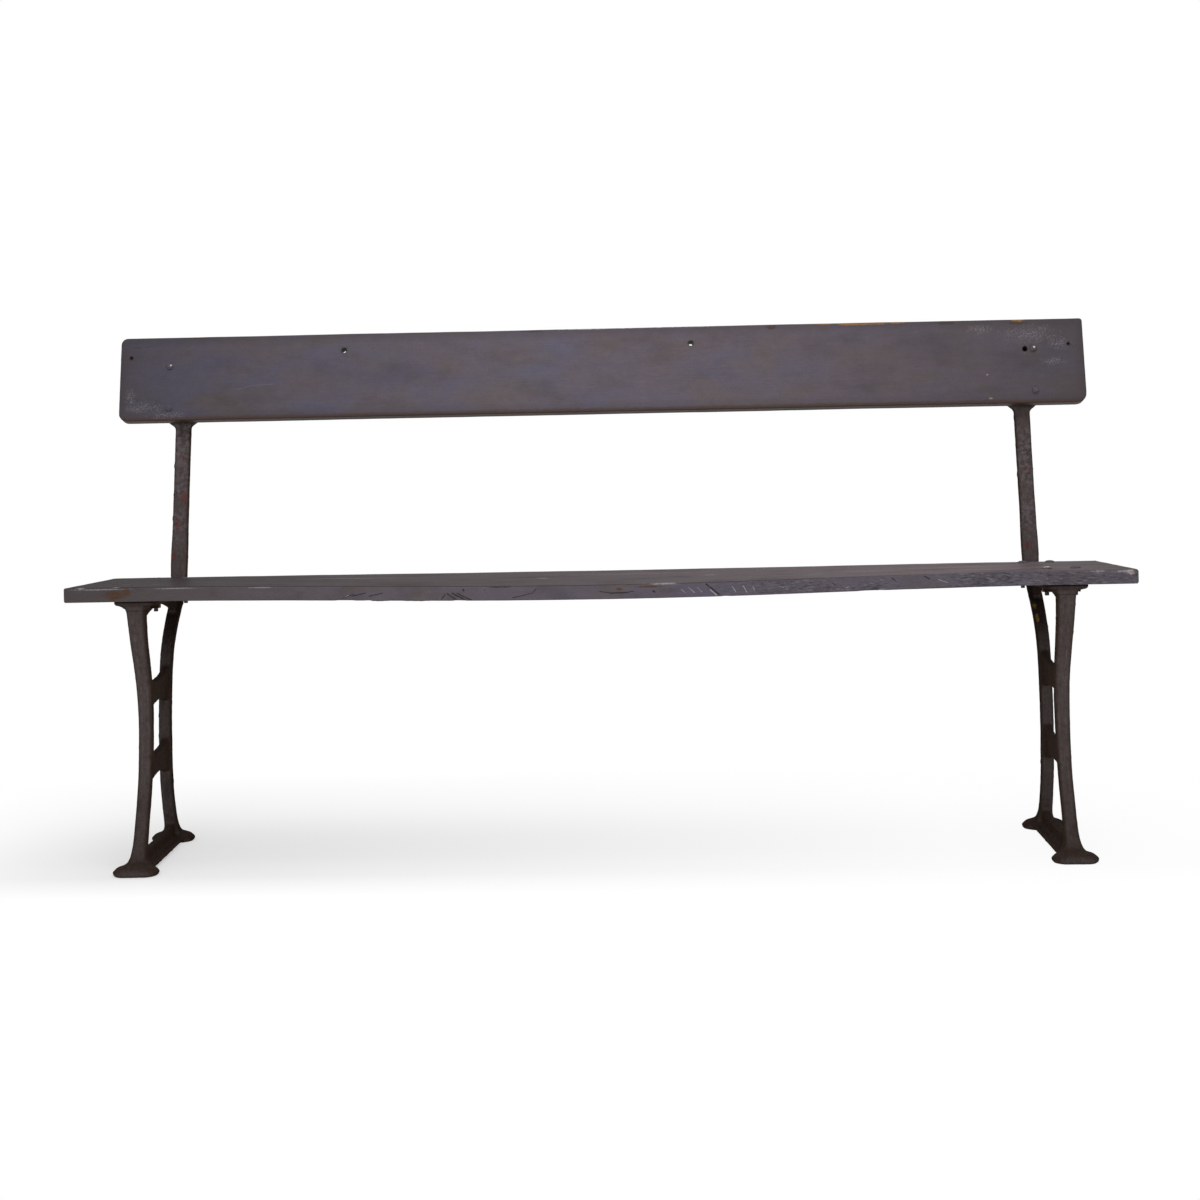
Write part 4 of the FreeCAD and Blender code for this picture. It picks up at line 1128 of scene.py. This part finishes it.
def on_back(x, u):
    """A place on the back plank's front, from millimetres along and up the board."""
    return tuple(back_place(SEAT_LENGTH / 2 + x * MM, u * MM, BACK_THICKNESS))


# Along, up; then half sizes along, through and up, in mm.
BACK_BARE = [(486, 158.5, 64, 12, 4.6), (420, 160, 30, 12, 3.0), (548, 159, 22, 12, 3.2),
             (770, 158.5, 15, 12, 4.2), (663, 160, 10, 8, 1.6)]
# Where the paint has come off down to the undercoat.
BACK_BROWN = [(-858, 141, 13, 5, 1.7), (-838, 142, 8, 5, 1.3), (-742, 158, 34, 9, 3.0),
              (-120, 157, 26, 9, 2.4), (640, 155, 22, 9, 4.0), (320, 154, 14, 9, 5.0),
              (770, 152, 20, 9, 4.0)]
BACK_SCUFFS = [(-842, 26, 40, 30, 12), (-800, 10, 40, 30, 8), (-868, 44, 12, 30, 20),
               (790, 130, 56, 40, 20), (842, 112, 24, 30, 14), (700, 142, 30, 30, 9),
               (830, 78, 26, 30, 8)]
TOP_FLECKS = [(-20, 159, 60, 14, 1.6), (70, 159.5, 90, 14, 1.5), (170, 159, 40, 14, 1.4)]
BACK_FLECKS = [(710, 55, 2.2, 4, 1.7), (714, 10, 4, 4, 2.0)]
# Along and up at each end, and the width in mm.
BACK_SCRATCHES = [(-672, 56, -640, 64, 0.9), (-640, 64, -600, 66, 0.9), (-470, 128, -474, 96, 0.8),
                  (-350, 112, -340, 84, 0.6), (-120, 132, -60, 128, 0.6)]

# %% Paint the back
HOLE_SHADE = colour(0.016, 0.011, 0.008)
STRAW = colour(0.5, 0.42, 0.28)
# How far the painted shade reaches beyond an old hole, in mm.
SHADE_RIM = 2.6
back_finish = Finish("painted_back", roughness=0.55, specular=0.20)
rim = back_finish.painted("rim")
up_axis = back_finish.vector("DOT_PRODUCT", back_finish.place, UP_BOARD, "Value")
up_board = up_axis - BACK_FOOT.dot(UP_BOARD)
behind = facing(back_finish, "Y").between(0.5, 0.8)
along = back_finish.axis("X")
blue_share = 0.72 - along.between(-0.3, 0.5) * 0.40
tone, brush, speck = paint_tone(back_finish, blue_share, 0.45)
# Painted light: the board is painted paler in the middle and darker towards both ends, as a pool of light
# that falls off.
tone = back_finish.tint(tone, 1.10 - (along - 0.02) ** 2 * 0.62)
wide = back_finish.cloud(back_finish.stretched(1.0, 2.0, 2.0), 7.5, detail=6.0, roughness=0.6)
tone = back_finish.blend(wide.between(0.50, 0.72) * 0.34, tone, GRIME)
border = (1 - (rim + (wide - 0.5) * 0.03) * (1 / 0.021)).between(0, 1)
tone = back_finish.blend(border * 0.42, tone, GRIME)
wear = back_finish.cloud(back_finish.stretched(1.0, 2.0, 2.0), 70, detail=8.0, roughness=0.74)
low_side = (facing(back_finish, "Z") * -1).between(0.25, 0.6)
edge_wear = (1 - rim * (1 / 0.005)).between(0, 1) * wear.between(0.58, 0.66)
low_band = 1 - (up_board + (wear - 0.5) * 0.008).between(0.004, 0.009)
undercoat_mask = edge_wear.at_least(low_side * 0.9).at_least(low_band)
undercoat_mask = undercoat_mask.at_least(behind * wear.between(0.50, 0.62) * 0.5)
tone = back_finish.blend(undercoat_mask * 0.8, tone, UNDERCOAT)
bare = patches(back_finish, on_back, BACK_BARE)
grain = back_finish.cloud(back_finish.stretched(2.0, 60.0, 60.0), 14.0, detail=5.0)
brown = patches(back_finish, on_back, BACK_BROWN, 1.1, 0.6, 110)
tone = back_finish.blend(brown * 0.75, tone, UNDERCOAT)
tone = back_finish.blend(bare * 0.85, tone, back_finish.tint(BARE_WOOD, 0.2 + grain * 1.3))
# Painted shade: the old holes, and a narrow rim round each, are darkened almost to black, as shade falls
# into them.
holes_in_mm = (((share - 0.5) * SEAT_LENGTH / MM, up * BACK_WIDTH / MM) + (bore / 2 + SHADE_RIM,) * 3
               for share, up, bore in OLD_HOLES)
hole_shade = patches(back_finish, on_back, holes_in_mm, 0.5, 0.5, 300)
tone = back_finish.blend(hole_shade * 0.88, tone, HOLE_SHADE)
pale_marks = patches(back_finish, on_back, BACK_SCUFFS, 1.1, 1.0, 130)
crumbs = back_finish.cloud(back_finish.place, 520, detail=3.0, roughness=0.7).between(0.50, 0.62)
flecks = patches(back_finish, on_back, BACK_FLECKS, 0.8, 0.4, 300)
top_flecks = patches(back_finish, on_back, TOP_FLECKS, 1.9, 0.4, 170)
scratches = lines(back_finish, on_back, BACK_SCRATCHES)
tone = back_finish.layers(tone, (pale_marks * crumbs, 0.36, CHALK), (scratches, 0.09, CHALK),
                          (top_flecks, 0.6, CHALK), (flecks, 0.4, STRAW))
back_finish.set(Base_Color=tone)
back_finish.set(Roughness=0.44 + brush * 0.16 + wide * 0.16 + bare * 0.2)
back_finish.bump(brush * 0.3 + grain * 0.2 + speck * 0.4 + wide * 0.3 - wear * 0.3, 0.8 * MM, 0.7)
dress(back_piece, back_finish, "back_wood", "back_board")

# %% [markdown]
# ### The iron's paint
# The frames were painted with the same brush, thinly. On the faces that look forward, and on the
# backs of the uprights, the mauve still shows as a dull sheen; the insides, the webs and the rear
# legs are bare, dark and rusty. The colour also follows how each face turns, as painted light and
# shade: faces that look forward are paler and faces that turn away darker, and the rear legs and
# the iron under the seat are darkened further with painted shade.
# Faint upright ridges on the legs are what the two halves of the mould left; each is painted lighter,
# as a painted highlight along the ridge. A fine line runs round the top of each front leg, where it
# meets its flare.

# %% Paint the castings
IRON_MAUVE = colour(0.071, 0.055, 0.054)
IRON_BROWN = colour(0.040, 0.026, 0.019)
IRON_DARK = colour(0.012, 0.0075, 0.006)
RUST = colour(0.060, 0.024, 0.011)
RED_SPECK = colour(0.12, 0.016, 0.014)
CHIP = colour(0.36, 0.22, 0.05)
PALE_BLOTCH = colour(0.17, 0.145, 0.165)
HALF_SPACING = FRAME_SPACING / 2
LEG_TOP = 0.434
# Side of the bench, across from the frame's middle, behind the bench's middle, up; half sizes, mm.
RED_PLACES = [(-1, 6, 150, 610, 6, 30, 14), (-1, -4, 150, 560, 5, 30, 10),
              (-1, -9, 140, 500, 4, 30, 8), (1, -4, 145, 492, 6, 30, 9),
              (1, 3, 160, 630, 3, 30, 12), (-1, 2, 170, 680, 3, 30, 9)]
CHIP_PLACES = [(1, -7, 40, 392, 5, 40, 9), (1, -6, 36, 372, 3.5, 40, 9)]


def on_frame(side, x, y, z):
    """A place on a frame, from its side of the bench and millimetres."""
    return (side * HALF_SPACING + x * MM, y * MM, z * MM)


iron_finish = Finish("painted_iron", roughness=0.55, specular=0.12)
height = iron_finish.axis("Z")
upright = height.between(0.47, 0.56)
forward = (facing(iron_finish, "Y") * -1).between(0.45, 0.97)
forward = forward.at_least(facing(iron_finish, "Y").between(0.45, 0.97) * upright * 0.75)
up = facing(iron_finish, "Z").between(0.2, 0.8)
broad = iron_finish.cloud(iron_finish.stretched(1, 1, 0.6), 22, detail=6.0, roughness=0.62)
fine = iron_finish.cloud(iron_finish.place, 130, detail=6.0, roughness=0.68)
grit = iron_finish.cloud(iron_finish.place, 600, detail=4.0, roughness=0.7)
runs = iron_finish.cloud(iron_finish.stretched(60, 60, 4), 4.0, detail=4.0, roughness=0.6)
# Partly painted light and shade: faces that look forward or up get the paler mauve and faces that turn
# away the dark brown, so the colour follows how each face meets the light as well as where paint is left.
paint_and_painted_light = (forward.at_least(up * 0.5) * (0.5 + broad)).between(0.25, 0.95)
tone = iron_finish.blend(paint_and_painted_light, IRON_BROWN, IRON_MAUVE)
tone = iron_finish.tint(tone, (runs * 1.0 + fine * 1.3 + grit * 1.1 - 0.70).at_least(0.25))
depth = iron_finish.axis("Y")
across = iron_finish.axis("X").size() - HALF_SPACING
on_leg = forward * height.between(0.04, 0.10) * (1 - height.between(0.40, 0.43))
outer_ridge = (1 - (across - 0.0042).size() * (1 / 0.0016)).between(0, 1)
inner_ridge = (1 - (across + 0.0065).size() * (1 / 0.0014)).between(0, 1)
ridge = outer_ridge.at_least(inner_ridge * 0.6) * on_leg * runs.between(0.35, 0.6)
# Painted highlight: the ridges are painted lighter, as light catches them.
tone = iron_finish.tint(tone, 1 + ridge * 0.45)
# Painted shade: the rear legs, the iron under the seat and a band just under the plank are darkened where
# shade falls; the feet are also darker towards the floor.
rear_leg = depth.between(-0.06, 0.0) * (1 - height.between(0.42, 0.47)) * height.between(0.03, 0.08)
under_seat = height.between(0.36, 0.43) * (1 - height.between(0.45, 0.47))
low_down = 1 - height.between(0.03, 0.26)
under_plank = height.between(0.442, 0.449) * (1 - height.between(0.455, 0.462))
shade = (rear_leg * 0.34).at_least(under_seat * depth.between(-0.1, 0.0) * 0.75)
shade = shade.at_least(low_down * 0.34).at_least(under_plank * 0.6)
corners = iron_finish.node("ShaderNodeNewGeometry", {}, {}, "Pointiness").between(0.53, 0.60)
tone = iron_finish.blend(shade.at_least(corners * 0.45), tone, IRON_DARK)
rust_mask = fine.between(0.54, 0.68) * (1 - forward * 0.65) * 0.7
tone = iron_finish.blend(rust_mask, tone, RUST)
tone = iron_finish.blend(broad.between(0.55, 0.70) * 0.5, tone, IRON_DARK)
ring_gap = (height - LEG_TOP - 0.001 + (fine - 0.5) * 0.002).size()
ring = (1 - ring_gap * (1 / 0.0012)).between(0, 1) * (1 - depth.between(-0.14, -0.12))
tone = iron_finish.blend(ring * 0.6, tone, IRON_DARK)
reds = patches(iron_finish, on_frame, RED_PLACES, 1.7, 0.4, 160)
chips = patches(iron_finish, on_frame, CHIP_PLACES, 0.9, 0.4, 200)
tone = iron_finish.layers(tone, (reds, 0.6, RED_SPECK), (chips, 0.75, CHIP))
blotches = fine.between(0.47, 0.57) * broad.between(0.38, 0.55) * upright * forward
tone = iron_finish.blend(blotches * 0.42, tone, PALE_BLOTCH)
iron_finish.set(Base_Color=tone)
iron_finish.set(Roughness=0.40 + fine * 0.2 + rust_mask * 0.3 + broad * 0.12)
iron_finish.bump(broad * 0.5 + fine * 0.6 + grit * 0.4 + runs * 0.2 - rust_mask * 0.5 + ridge * 0.8
                 - ring * 0.9, 1.1 * MM, 0.75)
iron_finish.dull(0.92 - forward * 0.75)
dress(left_frame, iron_finish, "frame_iron", "left_end_frame")
dress(right_frame, iron_finish, "frame_iron", "right_end_frame")

# %% [markdown]
# ### Bolts and nuts
# The heads were painted over with the boards, and boots and coats have rubbed one or two crowns
# bright again; the small bright spots on the crowns of the back bolts are painted highlights. The
# nuts under the seat are plain rusty iron. The CAD nuts have the right shape, so they stay and only
# get the finish.

# %% Finish the fasteners
STEEL = colour(0.60, 0.52, 0.36)
# Middle in mm and half size of each bright crown: the seat bolt's is rubbed metal, the three on
# the back are painted highlights.
RUBBED_CROWNS_AND_HIGHLIGHTS = [(750, -128, 479, 9), (-794, 203, 851, 2.4), (798, 203, 851, 2.6), (798, 183, 773, 1.8)]


def on_bench(x, y, z):
    """A place on the bench, from millimetres."""
    return (x * MM, y * MM, z * MM)


bolt_finish = Finish("rubbed_bolts", roughness=0.5, specular=0.25)
tone, _brush, speck = paint_tone(bolt_finish, 0.5, 0.5)
rubbed = bolt_finish.cloud(bolt_finish.place, 160, detail=5.0, roughness=0.65)
crowns = (mark[:3] + (mark[3],) * 3 for mark in RUBBED_CROWNS_AND_HIGHLIGHTS)
bright = patches(bolt_finish, on_bench, crowns, 1.4, 0.5, 220)
tone = bolt_finish.blend(rubbed.between(0.42, 0.6) * 0.45, tone, GRIME)
# Bright crowns: rubbed metal on the seat bolt, painted highlights on the back bolts.
tone = bolt_finish.blend(bright * 0.8, tone, STEEL)
bolt_finish.set(Base_Color=tone, Metallic=bright * 0.7, Roughness=0.5 - bright * 0.2 + speck * 0.1)
bolt_finish.bump(speck * 0.5 + rubbed * 0.6, 0.6 * MM, 0.7)
bolt_finish.dull((1 - bright) * 0.7)
for node, piece in bolts.items():
    dress(piece, bolt_finish, "fastener_iron", node)

nut_finish = Finish("rusty_nuts", roughness=0.7, specular=0.2)
fine = nut_finish.cloud(nut_finish.place, 150, detail=6.0, roughness=0.7)
grit = nut_finish.cloud(nut_finish.place, 800, detail=3.0)
tone = nut_finish.blend(fine.between(0.42, 0.62), IRON_DARK, RUST)
nut_finish.set(Base_Color=nut_finish.tint(tone, 0.6 + grit * 0.8), Roughness=0.55 + fine * 0.3)
nut_finish.bump(fine * 0.7 + grit * 0.4, 0.9 * MM, 0.8)
nut_names = [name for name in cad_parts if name.endswith("_nut")]
for name in nut_names:
    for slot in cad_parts[name].material_slots:
        slot.material = nut_finish.material
print(len(nut_names), "nuts finished")
